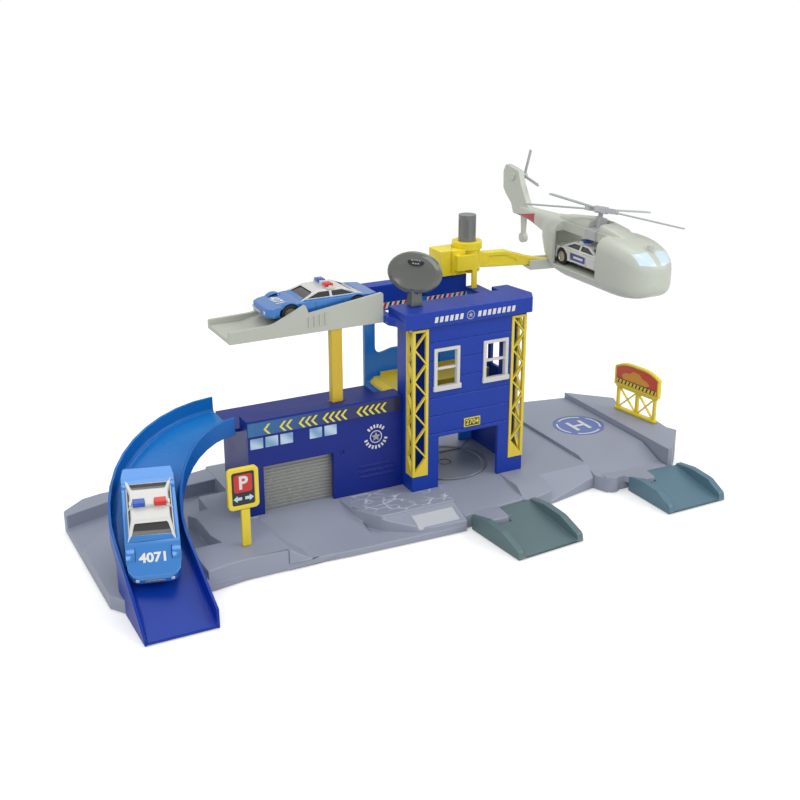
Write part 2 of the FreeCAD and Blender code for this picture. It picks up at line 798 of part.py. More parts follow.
# The tower's roof: a cornice round the front, the hatch of the lift and a rear parapet.
cornice_top = cell("cornice_top", 127.5, "top of the cornice and the front roof deck")
hatch_front = cell("hatch_front", 24.6, "front edge of the lift's hatch")
hatch_back = cell("hatch_back", 56, "back edge of the lift's hatch")
hatch_right = cell("hatch_right", 68.4, "right edge of the lift's hatch")
roof_left = cell("roof_left", -10, "left end of the roof, where the launch ramp joins it")
lane_top = cell("lane_top", 120.6, "top of the kerbs round the hatch")
parapet_top = cell("parapet_top", 129.3, "top of the rear parapet")
riser_top = cell("riser_top", 130, "top of the block under the crane")
dish_x = cell("dish_x", 8.5, "axis of the dish")
dish_y = cell("dish_y", 14, "axis of the dish")
dish_z = cell("dish_z", 147.2, "centre of the dish")
dish_pin = cell("dish_pin", 2, "radius of the pin under the dish")
running_gap = cell("running_gap", 0.05, "radial clearance of the turning fits")


def make_tower_roof():
    cornice = prism(
        "cornice", "XY",
        [(-6, -3), (80, -3), (85, 6), (81, 28), (69.5, 28), (69.5, tower_depth),
         (-6, tower_depth)],
        (tower_top, cornice_top),
    )
    under = box("cornice_void", (3, 75), (3, 18), (tower_top - 1, cornice_top - 2))
    end_lip = prism(
        "roof_end_lip", "XY",
        [(-6, -1), (-6, hatch_front), (roof_left, hatch_front), (roof_left, 12, 3),
         (-7.5, 8, 3)],
        (tower_top, tower_top + 5),
    )
    lane_frame = box("lane_frame", (roof_left, tower_width), (tower_depth, shaft_back),
                     (tower_top, lane_top))
    hatch = box("hatch", (-1.5, hatch_right), (hatch_front, hatch_back),
                (tower_top - 1, lane_top + 1))
    parapet = box("parapet", (-9, 50), (hatch_back, 66), (tower_top, parapet_top))
    parapet_void = box("parapet_void", (-7, 48), (61, 64), (tower_top - 1, parapet_top - 2))
    riser = box("riser", (50, 68), (hatch_back, 72), (tower_top, riser_top))
    riser_void = box("riser_void", (52, 66), (61, 70), (tower_top - 1, riser_top - 2.5))
    lug_slot = box("lug_slot", (30, 39), (hatch_back - 1, shaft_back + 0.2),
                   (tower_top - 1, lane_top + 3))
    dish_bore = rod("dish_bore", (dish_x, dish_y), dish_pin + running_gap,
                    (cornice_top - 4, cornice_top + 1))
    body = fuse("roof_solid", [cornice, end_lip, lane_frame, parapet, riser])
    hollows = [under, hatch, parapet_void, riser_void, lug_slot, dish_bore]
    keep(cut("tower_roof", body, hollows), "tower_roof")


# The lift: a see-through shaft behind the tower and a yellow tray that rides up it.
lift_floor = cell("lift_floor", 71, "top of the lift's tray when it is down")
lift_travel = cell("lift_travel", 49.4, "how far the tray rises to the roof's hatch")
rail_left = cell("rail_left", 33, "left side of the rail that guides the tray")
rail_width = cell("rail_width", 3, "width of that rail")


def make_lift():
    panel_back = shaft_back + 2
    panel = prism("shaft_panel", "XZ", rect((-3.6, 77.8), (deck, tower_top)),
                  (shaft_back, panel_back))
    arch = prism(
        "shaft_arch", "XZ",
        [(4.1, 112), (4.1, 84, 4), (16, 87, 6), (30, 87), (30, 112)],
        (shaft_back - 1, panel_back + 1),
    )
    gate = prism(
        "shaft_gate", "XZ", [(8, deck - 1), (8, 40, 8), (66, 40, 8), (66, deck - 1)],
        (shaft_back - 1, panel_back + 1),
    )
    rail = box("shaft_rail", (rail_left, rail_left + rail_width), (shaft_back - 2, shaft_back),
               (50, tower_top))
    ribs = [
        box(f"shaft_rib_{index}", (left, left + 1.6), (shaft_back - 1, shaft_back), (44, tower_top))
        for index, left in enumerate((-3.6, 50, 76.2 - 2.4))
    ]
    band = box("shaft_band", (-3.6, rail_left - 1.5), (shaft_back - 1, shaft_back), (64, 66))
    pierced = cut("shaft_pierced", panel, [arch, gate])
    keep(fuse("lift_shaft", [pierced, rail, band] + ribs), "lift_shaft")

    tray_left = -0.9
    tray_right = hatch_right - 0.6
    tray_front = hatch_front + 0.5
    tray_back = hatch_back - 0.6
    slab = prism(
        "tray_slab", "XZ",
        [(tray_left, lift_floor - 4.6), (tray_right, lift_floor - 4.6),
         (tray_right, lift_floor), (tray_left + 2.5, lift_floor), (tray_left, lift_floor - 2.6)],
        (tray_front, tray_back),
    )
    under = box("tray_void", (1.5, tray_right - 2), (tray_front + 2, tray_back - 2),
                (lift_floor - 6, lift_floor - 2))
    stop = box("tray_stop", (tray_right - 2, tray_right), (tray_front, tray_back),
               (lift_floor - 1, lift_floor + 5))
    kerb_low = lift_floor - 1
    kerbs = [
        box(f"tray_kerb_{index}", (6, tray_right), (front, front + 1.2), (kerb_low, lift_floor + 2.5))
        for index, front in enumerate((tray_front, tray_back - 1.2))
    ]
    lugs = [
        box(f"tray_lug_{index}", (left, left + 2), (tray_back - 1, shaft_back - 0.3),
            (lift_floor - 4.6, lift_floor + 1))
        for index, left in enumerate((rail_left - 2.3, rail_left + rail_width + 0.3))
    ]
    hollowed = cut("tray_hollowed", slab, [under])
    keep(fuse("lift_tray", [hollowed, stop] + kerbs + lugs), "lift_tray")


# The launch ramp on its yellow column: a beige tray with one tall, stepped wall.
ramp_front = cell("ramp_front", 18, "front face of the launch ramp")
ramp_back = cell("ramp_back", 54.5, "back face of the launch ramp")
ramp_left = cell("ramp_left", -105, "free end of the launch ramp")
ramp_under = cell("ramp_under", 118.5, "underside of the launch ramp")
ramp_floor = cell("ramp_floor", 124.4, "level part of the ramp's floor")
ramp_wall = cell("ramp_wall", 2.4, "walls of the launch ramp")


def make_launch_ramp():
    column_x = -39.8
    near_wall = prism(
        "ramp_near_wall", "XZ",
        [(ramp_left, ramp_under), (roof_left, ramp_under), (roof_left, 136.5, 1), (-57, 130),
         (-59, 135.3, 0.6), (-79, 126.2, 12), (ramp_left, 125.4, 0.8)],
        (ramp_front, ramp_front + ramp_wall),
    )
    far_wall = prism(
        "ramp_far_wall", "XZ",
        [(ramp_left, ramp_under), (roof_left, ramp_under), (roof_left, 130), (-62, 128),
         (-80, 124.6, 10), (ramp_left, 123.8, 0.8)],
        (ramp_back - ramp_wall, ramp_back),
    )
    floor = prism(
        "ramp_floor_plate", "XZ",
        [(ramp_left, ramp_under), (ramp_left, 120.8), (-86, 120.8, 10), (-68, ramp_floor, 10),
         (roof_left - 8, ramp_floor), (roof_left, 121), (roof_left, ramp_under),
         (roof_left - 2, ramp_under), (roof_left - 8.5, ramp_floor - 2.2),
         (-67.5, ramp_floor - 2.2), (-85.5, ramp_under)],
        (ramp_front + ramp_wall, ramp_back - ramp_wall),
    )
    ribs = [
        box(f"ramp_rib_{index}", (-57.5 + 3.4 * index, -56.5 + 3.4 * index),
            (ramp_front - 0.6, ramp_front), (122 + 0.2 * index, 128 + 0.5 * index))
        for index in range(4)
    ]
    cross_ribs = [
        box(f"ramp_web_{index}", (left, left + 1.6),
            (ramp_front + ramp_wall, ramp_back - ramp_wall), (ramp_under, ramp_floor - 1))
        for index, left in enumerate((-66, -25))
    ]
    keep(fuse("launch_ramp", [near_wall, far_wall, floor] + ribs + cross_ribs), "launch_ramp")
    half = 3.6
    shaft = prism(
        "column_shaft", "XY", rect((column_x - half, column_x + half), (18.6, 23.6), 0.8),
        (fascia_top, ramp_under),
    )
    keep(shaft, "ramp_column")


# The slide: a see-through channel that turns a quarter circle on its way to the table.
slide_x = cell("slide_x", -104, "centre of the slide's bend, and its upper end")
slide_y = cell("slide_y", -26, "centre of the slide's bend")
slide_radius = cell("slide_radius", 64.5, "radius of the channel's middle line")
slide_width = cell("slide_width", 39.4, "width of the channel over its walls")
slide_wall = cell("slide_wall", 1.6, "wall of the channel")
slide_foot = cell("slide_foot", -72.5, "front end of the slide")


slide_bend = cell("slide_bend", 2.6, "radius where the channel's floor meets its walls")


def slide_sections(middle, outward, floor, outer_top, inner_top):
    """The channel cut across: its floor, then its outer and its inner wall."""
    half = float(slide_width / 2)
    inside = float(half - slide_wall)
    under = floor - slide_wall

    def spot(across, height):
        return middle + outward * across + UP * height

    sections = [
        [spot(-inside, under), spot(inside, under), spot(inside, floor), spot(-inside, floor)]
    ]
    for side, top in ((1, outer_top), (-1, inner_top)):
        bend = min(float(slide_bend), max(top - floor - 0.3, 0.3))
        face = side * inside
        hollow = arc_spots(spot(face - side * bend, floor + bend), -UP, outward * side, bend, 3)
        sections.append(
            hollow + [spot(face, top), spot(side * half, top), spot(side * half, under),
                      spot(face, under), spot(face, floor)]
        )
    return sections


def make_slide():
    centre = Vector(slide_x, slide_y, 0)
    bend_heights = [
        (90, 66, 9, 9), (98, 65.3, 9, 9), (106, 63.9, 9, 9), (114, 61.8, 9, 9),
        (122, 59.2, 9, 9), (130, 56, 9, 8.6), (138, 52.3, 9, 8.6), (146, 48, 9, 8.6),
        (154, 43, 9, 8.6), (162, 37.3, 9, 8.6), (171, 31.4, 9, 8.6), (180, 25.8, 9, 8.6),
    ]
    straight_heights = [(-42, 17.6, 7.5, 8.8), (-58, 8.9, 4.5, 9.2), (slide_foot, 1.8, 0.4, 9.4)]
    rows = []
    for degrees, floor, outer, inner in bend_heights:
        angle = math.radians(degrees)
        outward = Vector(math.cos(angle), math.sin(angle), 0)
        rows.append(
            slide_sections(centre + outward * slide_radius, outward, floor, floor + outer,
                           floor + inner)
        )
    outward = Vector(-1, 0, 0)
    for front, floor, outer, inner in straight_heights:
        middle = Vector(slide_x - slide_radius, front, 0)
        rows.append(slide_sections(middle, outward, floor, floor + outer, floor + inner))
    bottom, outer_side, inner_side = [
        made_shape(name, banded([row[index] for row in rows]))
        for index, name in enumerate(("channel_floor", "channel_outer", "channel_inner"))
    ]
    keep(group("slide_floor", [bottom]), "slide_floor")
    outer_face = slide_x - slide_radius - slide_width / 2
    for name, side, left in (
        ("outer", outer_side, outer_face),
        ("inner", inner_side, outer_face + slide_width - slide_wall),
    ):
        skirt = prism(
            f"slide_skirt_{name}", "YZ",
            [(slide_foot, 0), (-37.6, 0), (-37.6, mound), (-26, mound), (-26, 25),
             (-42, 16.8), (-58, 8.1), (slide_foot, 0.6)],
            (left, left + slide_wall),
        )
        keep(fuse(f"slide_{name}_wall", [side, skirt]), f"slide_{name}_wall")


make_tower_roof()
make_lift()
make_launch_ramp()
make_slide()


# The crane: a yellow housing on the roof, a swinging arm and the grey post it turns on.
crane_x = cell("crane_x", 71.4, "axis of the crane")
crane_y = cell("crane_y", 62, "axis of the crane")
drum_radius = cell("drum_radius", 8.5, "radius of the crane's drum")
collar_radius = cell("collar_radius", 9.7, "radius of the collar on top of the drum")
drum_low = cell("drum_low", 131.6, "underside of the drum")
drum_high = cell("drum_high", 144.5, "top of the drum, where the collar starts")
collar_high = cell("collar_high", 149.5, "top of the collar")
post_radius = cell("post_radius", 5.6, "radius of the grey post")
post_high = cell("post_high", 166, "top of the grey post")
arm_heading = cell("arm_heading", -9, "degrees from straight right at rest")
arm_low = cell("arm_low", 130.6, "underside of the arm")
arm_reach = cell("arm_reach", 64, "end of the arm, from its axis")


def make_crane():
    house = prism(
        "crane_house", "XY",
        [(48.3, 54), (56, 54), (56, 53.4), (66, 53.4), (70.5, 57), (70.5, 70), (48.3, 70)],
        (riser_top, 146),
    )
    cradle = rod("crane_cradle", (crane_x, crane_y), collar_radius + 0.5, (drum_low - 0.3, 150))
    seam = box("crane_seam", (55.2, 56), (53, 55), (131, 147))
    leg = box("crane_leg", (69, 72.5), (50.2, 52), (lane_top, 143))
    leg_web = box("crane_leg_web", (60, 72.5), (50.2, 52), (133, 143))
    leg_root = box("crane_leg_root", (58, 61.5), (50.2, 54), (133, 143))
    seat = rod("crane_seat", (crane_x, crane_y), drum_radius, (riser_top, drum_low - 0.3))
    hollowed = cut("crane_house_cut", house, [cradle, seam])
    keep(fuse("crane_mount", [hollowed, leg, leg_web, leg_root, seat]), "crane_mount")

    turn = Rotation(UP, float(arm_heading))
    drum = roller("drum", (0, 0), drum_radius, (drum_low, drum_high), "Z", 40)
    collar = roller("collar", (0, 0), collar_radius, (drum_high, collar_high), "Z", 40)
    arm = prism(
        "arm_beam", "XZ",
        [(4, 132.4), (10, drum_low, 3), (40, arm_low + 0.2), (arm_reach, arm_low),
         (arm_reach, 133.2), (52, 133.8), (42, 136, 6), (26, 141.1, 8), (4, 141.1)],
        (-3.2, 3.2),
    )
    grip = prism(
        "arm_grip", "XZ",
        [(14, 134), (38, 133.4, 1), (25, 138.4, 1), (14, 138.6)], (-4, -2.6),
    )
    bore = rod("drum_bore", (0, 0), post_radius + running_gap, (drum_low - 1, collar_high + 1))
    arm_solid = fuse("arm_solid", [drum, collar, arm])
    swing = cut("crane_arm", arm_solid, [bore, grip])
    place(swing, crane_x, crane_y, 0, turn)
    keep(swing, "crane_arm")

    spindle = rod("post_shaft", (crane_x, crane_y), post_radius, (drum_low - 0.3, post_high))
    flutes = [
        rod(f"post_flute_{index}",
            (crane_x + 5.9 * math.cos(math.radians(60 * index)),
             crane_y + 5.9 * math.sin(math.radians(60 * index))),
            0.8, (collar_high + 2, post_high - 3))
        for index in range(6)
    ]
    keep(cut("crane_post", spindle, flutes), "crane_post")


make_crane()


# The helicopter: a beige hull with an open bay for a car, on the end of the crane's arm.
heli_x = cell("heli_x", 138, "middle plane of the helicopter")
heli_half = cell("heli_half", 17.4, "half the width of its hull")
bay_front = cell("bay_front", -8, "front edge of the open bay")
bay_back = cell("bay_back", 38, "back edge of the open bay")
bay_floor = cell("bay_floor", 134, "floor of the bay")
bay_roof = cell("bay_roof", 154.8, "underside of the roof over the bay")
spine_half = cell("spine_half", 9.5, "half the width of the roof over the bay")


def hull_section(y, half, low, high, radius):
    """The hull cut across: a rectangle with rounded corners, as a ring of points."""
    side = Vector(1, 0, 0)
    ring = []
    for across, first, second in ((1, -UP, side), (1, side, UP), (-1, UP, -side), (-1, -side, -UP)):
        level = low + radius if first.z < 0 or second.z < 0 else high - radius
        centre = Vector(float(heli_x + across * (half - radius)), y, level)
        ring += arc_spots(centre, first, second, radius, 4)
    return ring


def make_helicopter():
    hull_stations = [
        (-48.5, 4, 136, 146.5, 3), (-47.6, 7.2, 133.8, 148.9, 4.5), (-46, 10, 132, 150.8, 6),
        (-43.4, 12.2, 130.4, 152.9, 6.6), (-40, 14, 129, 155, 7), (-36, 15.4, 128.1, 157, 7.6),
        (-31, 16.4, 127.4, 158.6, 8), (-25, 17.1, 127.1, 159.7, 8), (-18, heli_half, 127, 160.3, 8),
        (-8, heli_half, 127, 160.6, 8), (30, heli_half, 127.1, 160.6, 8),
        (40, heli_half, 128.4, 160.6, 8), (46, 16.3, 130.7, 160.6, 7.6),
        (52, 14.5, 134, 160.2, 7), (62, 9.5, 141, 159.6, 5),
    ]
    shape = banded([hull_section(*station) for station in hull_stations])
    hull = made_shape("hull_loft", shape)
    pane_shape = shape.copy()
    cowl_stations = [
        (-18, 5, 157, 160.4, 1.2), (-8, 7.5, 157, 163.6, 3), (6, 8, 157, 165.2, 3.5),
        (26, 8, 157, 165, 3.5), (48, 6, 157, 162, 2),
    ]
    cowl = made_shape("cowling", banded([hull_section(*station) for station in cowl_stations]))
    pan_block = box("pan_block", (110, 170), (bay_front - 0.5, 58), (120, bay_floor))
    pan = common("belly", hull, pan_block)
    bay = box("bay_void", (heli_x - heli_half + 2, heli_x + heli_half - 1.4), (-26, 47),
              (bay_floor - 1, bay_roof))
    near_door = box("near_door", (heli_x - 30, heli_x - spine_half), (bay_front, bay_back),
                    (bay_floor - 1, 170))
    far_door = box("far_door", (heli_x + spine_half, heli_x + 30), (bay_front, bay_back),
                   (bay_floor - 1, 170))
    loading_door = box("loading_door", (heli_x, heli_x + 30), (-26, 47), (bay_floor - 1, bay_roof))
    upper = fuse("hull_upper", [hull, cowl])
    notch = box("pylon_notch", (heli_x - 11, heli_x + 4), (3, 14), (bay_roof - 1, 175))
    knob = rod("nose_light", (139.5, -36.5), 2.2, (155, 159.8))
    shell = cut("hull_shell", upper, [pan_block, bay, notch, near_door, far_door, loading_door])
    panes = make_windscreen(pane_shape)
    with_light = fuse("hull_with_light", [shell, knob])
    keep(cut("helicopter_hull", with_light, [panes]), "helicopter_hull")
    keep(group("windscreen", [panes]), "windscreen")

    turn = Rotation(UP, float(arm_heading))
    socket = group(
        "arm_socket",
        [box("socket_block", (42, arm_reach + 4), (-6, 6), (127.8, bay_floor))],
    )
    slot = group(
        "arm_slot",
        [box("slot_block", (30, arm_reach + 0.4), (-3.6, 3.6), (arm_low - 0.4, bay_floor + 1))],
    )
    for thing in (socket, slot):
        place(thing, crane_x, crane_y, 0, turn)
    floor = fuse("floor_solid", [pan, socket])
    keep(cut("helicopter_floor", floor, [slot]), "helicopter_floor")


def make_windscreen(hull_shape):
    """Two panes let into the nose, following its curve."""
    tools = []
    for side in (-1, 1):
        corners = [(1.6, 149.6), (11.2, 150.2), (12.4, 155.6), (2.2, 156.4)]
        spots = [Vector(heli_x + side * u, -60, w) for u, w in corners]
        face = Part.Face(Part.makePolygon(spots + [spots[0]]))
        tools.append(face.extrude(Vector(0, 38, 0)))
    inner = hull_shape.copy()
    inner.translate(Vector(0, 0.9, -0.5))
    panes = [tool.common(hull_shape).cut(inner) for tool in tools]
    solids = [max(pane.Solids, key=lambda solid: solid.Volume) for pane in panes]
    return made_shape("pane_forms", Part.makeCompound(solids))


make_helicopter()


# The tail with its fin and wheel, the mast and the two rotors.
rotor_pin = cell("rotor_pin", 1.5, "radius of the pin under the main rotor")
rotor_roll = cell("rotor_roll", 13.2, "sideways tilt of the main rotor in degrees")
rotor_pitch = cell("rotor_pitch", -5.6, "forward tilt of the main rotor in degrees")
rotor_cone = cell("rotor_cone", 3.7, "two blades rise and two droop by these degrees")
rotor_reach = cell("rotor_reach", 58, "radius of the main rotor")
tail_pin = cell("tail_pin", 0.8, "radius of the pin of the tail rotor")
tail_reach = cell("tail_reach", 19.5, "radius of the tail rotor")
hub_y = cell("hub_y", 12, "hub of the main rotor")
hub_z = cell("hub_z", 171.8, "hub of the main rotor")


def make_tail():
    stations = [
        (56, 9, 143.5, 159.5, 5), (68, 7, 147, 159.3, 4), (84, 5, 150, 158.8, 3),
        (100, 3.4, 152, 158.4, 2),
    ]
    boom = made_shape("tail_boom", banded([hull_section(*station) for station in stations]))
    fin = prism(
        "tail_fin", "YZ",
        [(88, 156), (93, 160, 3), (101.5, 173), (105, 181, 2), (121, 183.5, 2), (124, 178),
         (123.5, 167), (120, 163), (113, 158), (110, 151.5, 2), (96, 151.5)],
        (136, 140),
    )
    ridge = rod("tail_gearbox", (111, 176.7), 2.6, (134.8, 142), "X")
    pin = rod("tail_rotor_pin", (110.6, 176.7), tail_pin, (141, 145), "X")
    inside = box("boom_start", (heli_x - 20, heli_x + 20), (50, 62.3), (130, 170))
    trimmed = cut("boom_trimmed", boom, [inside])
    keep(fuse("helicopter_tail", [trimmed, fin, ridge, pin]), "helicopter_tail")
    strut = prism("tail_strut", "YZ", [(96.5, 151.4), (102, 151.4), (100.6, 136), (97.6, 136)],
                  (137, 139))
    wheel = roller("tail_tyre", (99.2, 136.4), 3.4, (136.4, 139.6), "X")
    keep(fuse("tail_wheel", [strut, wheel]), "tail_wheel")


def make_rotors():
    lean = Rotation(Vector(0, 1, 0), float(rotor_roll)) * Rotation(
        Vector(1, 0, 0), float(rotor_pitch))
    stem = prism("mast_stem", "XZ",
                 [(heli_x - 4, 160), (heli_x - 3, 164), (heli_x - 3.4, 168.2),
                  (heli_x + 2.6, 166.6), (heli_x + 3, 160)],
                 (hub_y - 3.2, hub_y - 0.2))
    stem_back = prism("mast_back", "XZ",
                      [(heli_x - 3, bay_roof + 0.2), (heli_x - 3, 168), (heli_x + 2.6, 166.4),
                       (heli_x + 3, bay_roof + 0.2)],
                      (hub_y - 3.2, hub_y + 1.8))
    foot = box("mast_foot", (heli_x - 10.8, heli_x + 3.8), (3.2, 13.8), (bay_roof + 0.2, 161))
    pin = group("mast_pin", [rod("mast_pin_rod", (0, 0), rotor_pin, (-6, 1.2))])
    place(pin, heli_x, hub_y, hub_z, lean)
    keep(fuse("rotor_mast", [stem, stem_back, foot, pin]), "rotor_mast")

    hub = rod("rotor_hub", (0, 0), 4.2, (-2.2, 2.2))
    bore = rod("rotor_bore", (0, 0), rotor_pin + running_gap, (-3, 1.5))
    pieces = [hub]
    for index in range(4):
        cuff = box(f"rotor_cuff_{index}", (2, 11), (-2.2, 2.2), (-1.6, 1.6))
        blade = prism(
            f"rotor_blade_{index}", "XY",
            [(10, -1.4), (17, -2.6, 3), (rotor_reach - 1.5, -2.6), (rotor_reach, -1.2),
             (rotor_reach, 1.2), (rotor_reach - 1.5, 2.2), (17, 2.2, 3), (10, 1.4)],
            (-0.4, 0.6),
        )
        cone = float(rotor_cone) * (-1 if index % 2 == 0 else 1)
        spoke = Rotation(UP, 20.6 + 90 * index)
        raised = spoke * Rotation(Vector(0, 1, 0), cone)
        cuff.Placement = Placement(spoke.multVec(Vector(2, -2.2, -1.6)), spoke)
        blade.Placement = Placement(Vector(), raised)
        pieces += [cuff, blade]
    rotor = cut("main_rotor", fuse("rotor_solid", pieces), [bore])
    place(rotor, heli_x, hub_y, hub_z, lean)
    keep(rotor, "main_rotor")

    tail_hub = rod("tail_hub", (0, 0), 2.4, (142.3, 145.8), "X")
    tail_bore = rod("tail_bore", (0, 0), tail_pin + running_gap, (142, 145.2), "X")
    bars = []
    for index, angle in enumerate((78, -20)):
        bar = prism(
            f"tail_bar_{index}", "YZ",
            [(-tail_reach, -0.4), (-tail_reach + 0.4, -0.8), (tail_reach - 0.4, -0.8),
             (tail_reach, -0.4), (tail_reach, 0.8), (tail_reach - 0.4, 1.2),
             (-tail_reach + 0.4, 1.2), (-tail_reach, 0.8)],
            (143.2 + 0.9 * index, 144.2 + 0.9 * index),
        )
        bar.Placement = Placement(Vector(), Rotation(Vector(1, 0, 0), 90 - angle))
        bars.append(bar)
    spinner = cut("tail_rotor", fuse("tail_solid", [tail_hub] + bars), [tail_bore])
    place(spinner, 0, 110.6, 176.7)
    keep(spinner, "tail_rotor")


make_tail()
make_rotors()


# The dish on the front of the roof, turning on a pin in the roof deck.
def make_dish():
    """A shallow bowl with a raised rim: ovals set one behind the other along its axis."""
    across = 17.5
    up = 12.3

    def oval(share, behind):
        angles = [math.radians(12 * step) for step in range(30)]
        return [
            Vector(across * share * math.cos(angle), behind, up * share * math.sin(angle))
            for angle in angles
        ]

    back = [(0.35, 3.2), (0.7, 2.4), (0.9, 1.5), (1, 0), (0.94, -1.2), (0.81, -2)]
    hollow = [(0.84, -2.2), (0.6, -1.3), (0.3, -0.9)]
    bowl = made_shape("dish_back", banded([oval(*ring) for ring in back]))
    recess = made_shape("dish_hollow", banded([oval(*ring) for ring in hollow]))
    face = cut("dish_face", bowl, [recess])
    facing = Rotation(UP, -50.4) * Rotation(Vector(1, 0, 0), -12)
    place(face, dish_x, dish_y, dish_z, facing)
    neck = frustum("dish_neck", float(cornice_top + 0.3), (dish_x - 3.8, dish_x + 3.8, 3.6), 139,
                   (dish_x - 2.8, dish_x + 2.8, 2.6), dish_y)
    pin = rod("dish_pin_rod", (dish_x, dish_y), dish_pin, (cornice_top - 1.8, cornice_top + 1))
    keep(fuse("dish", [face, neck, pin]), "dish")


# Two short ramps hooked on the front tabs of the base.
def make_exit_ramp(name, corner, yaw, width, length, tab):
    floor = prism(f"{name}_floor", "YZ", [(0, 8.5), (-length, 1), (-length, 0), (0, 6.3)],
                  (0, width))
    walls = [
        prism(
            f"{name}_wall_{index}", "YZ",
            [(0, 0), (0, 9.5), (-14, 11.5, 12), (-30, 10.5, 12), (-length + 1, 5, 3),
             (-length, 0)],
            (left, left + 4.4),
        )
        for index, left in enumerate((0, width - 4.4))
    ]
    brace = box(f"{name}_brace", (2, width - 2), (-length + 18, -length + 20), (0, 3.6))
    solid = fuse(f"{name}_solid", [floor, brace] + walls)
    place(solid, corner[0], corner[1], 0, Rotation(UP, yaw))
    middle = [sum(point[axis] for point in tab) / len(tab) for axis in (0, 1)]
    grown = [
        tuple(middle[axis] + (point[axis] - middle[axis]) * 1.07 for axis in (0, 1))
        for point in tab
    ]
    notch = prism(f"{name}_notch", "XY", grown, (-1, 20))
    keep(cut(name, solid, [notch]), name)


# Signs: a square parking sign on a post, and a billboard on crossed legs.
def make_signs():
    post = box("sign_post", (-115.5, -110.5), (-18.1, -15.9), (13.2, 38))
    plate = prism("sign_plate", "XZ", rect((-122.7, -104.8), (36, 60.5), 2.6), (-18.3, -15.7))
    recess = prism("sign_recess", "XZ", rect((-120.4, -107.1), (38.3, 58.2), 1.4), (-19, -17.6))
    keep(fuse("sign_solid", [cut("sign_frame", plate, [recess]), post]), "parking_sign")

    turn = Rotation(UP, -81.7)
    low = 20.2
    foot = box("board_foot", (-19, 19), (-1.8, 1.8), (low, low + 1.8))
    top_bar = box("board_rail", (-19, 19), (-1, 1), (36.4, 38.2))
    pieces = [foot, top_bar]
    for index, left in enumerate((-18, 0, 16.2)):
        pieces.append(box(f"board_leg_{index}", (left, left + 1.8), (-1, 1), (low, 38)))
    for index, (start, end) in enumerate(((-17, 0.9), (0.9, 17))):
        for flip, (first, last) in enumerate(((start, end), (end, start))):
            pieces.append(
                prism(
                    f"board_brace_{index}{flip}", "XZ",
                    [(first - 0.7, low + 1), (first + 0.7, low + 1), (last + 0.7, 37.4),
                     (last - 0.7, 37.4)],
                    (-0.8, 0.8),
                )
            )
    frame = prism(
        "board_frame", "XZ",
        [(-20.5, 38), (20.5, 38), (20.5, 51.5), (12, 55.6, 30), (-12, 55.6, 30),
         (-20.5, 51.5)],
        (-1.4, 1.4),
    )
    seat = prism(
        "board_seat", "XZ",
        [(-19, 39.5), (19, 39.5), (19, 50.6), (11.4, 54.1, 28), (-11.4, 54.1, 28),
         (-19, 50.6)],
        (-2, -0.6),
    )
    whole = fuse("board_solid", [cut("board_cut", frame, [seat])] + pieces)
    place(whole, 189.5, 29, 0, turn)
    keep(whole, "billboard_frame")
    panel = prism(
        "billboard_panel", "XZ",
        [(-18.9, 39.6), (18.9, 39.6), (18.9, 50.5), (11.3, 54, 28), (-11.3, 54, 28),
         (-18.9, 50.5)],
        (-1.3, -0.6),
    )
    place(panel, 189.5, 29, 0, turn)
    keep(panel, "billboard_panel")


make_dish()
make_exit_ramp("exit_ramp_front", (21.5, -35.1), 4.6, 47, 46.8,
               [(23.4, -32), (42.6, -30), (41, -46.5), (27, -46)])
make_exit_ramp("exit_ramp_side", (137.6, -30.8), 1, 44.6, 42.6,
               [(135.7, -28), (154.7, -28), (152.7, -41), (141.7, -41)])
make_signs()


# Three die-cast cars, 71 mm long: on the launch ramp, on the slide and in the helicopter.
car_length = cell("car_length", 71, "length of a car over its bumpers")
car_half = cell("car_half", 14.2, "half the width of a car's body")
axle_from_middle = cell("axle_from_middle", 21, "half the wheelbase")
wheel_radius = cell("wheel_radius", 5.25, "radius of a car's wheel")
wheel_width = cell("wheel_width", 4.4, "width of a car's wheel")
axle_radius = cell("axle_radius", 0.8, "radius of a car's axle")
belt = cell("belt", 11.2, "top of the car's flanks")
car_roof = cell("car_roof", 15.6, "top of the car's roof")


def cabin(name, inset, top):
    """The tapering cabin, drawn in by the inset on every side."""
    foot = (-14 + inset * 1.6, 25.5 - inset * 1.8, 12.3 - inset)
    head = (-3 + inset * 1.6, 14 - inset * 1.8, 9.8 - inset)
    share = (top - belt) / (car_roof - belt)
    lid = [float(low + (high - low) * share) for low, high in zip(foot, head)]
    return frustum(name, float(belt - 0.4), foot, float(top), lid)


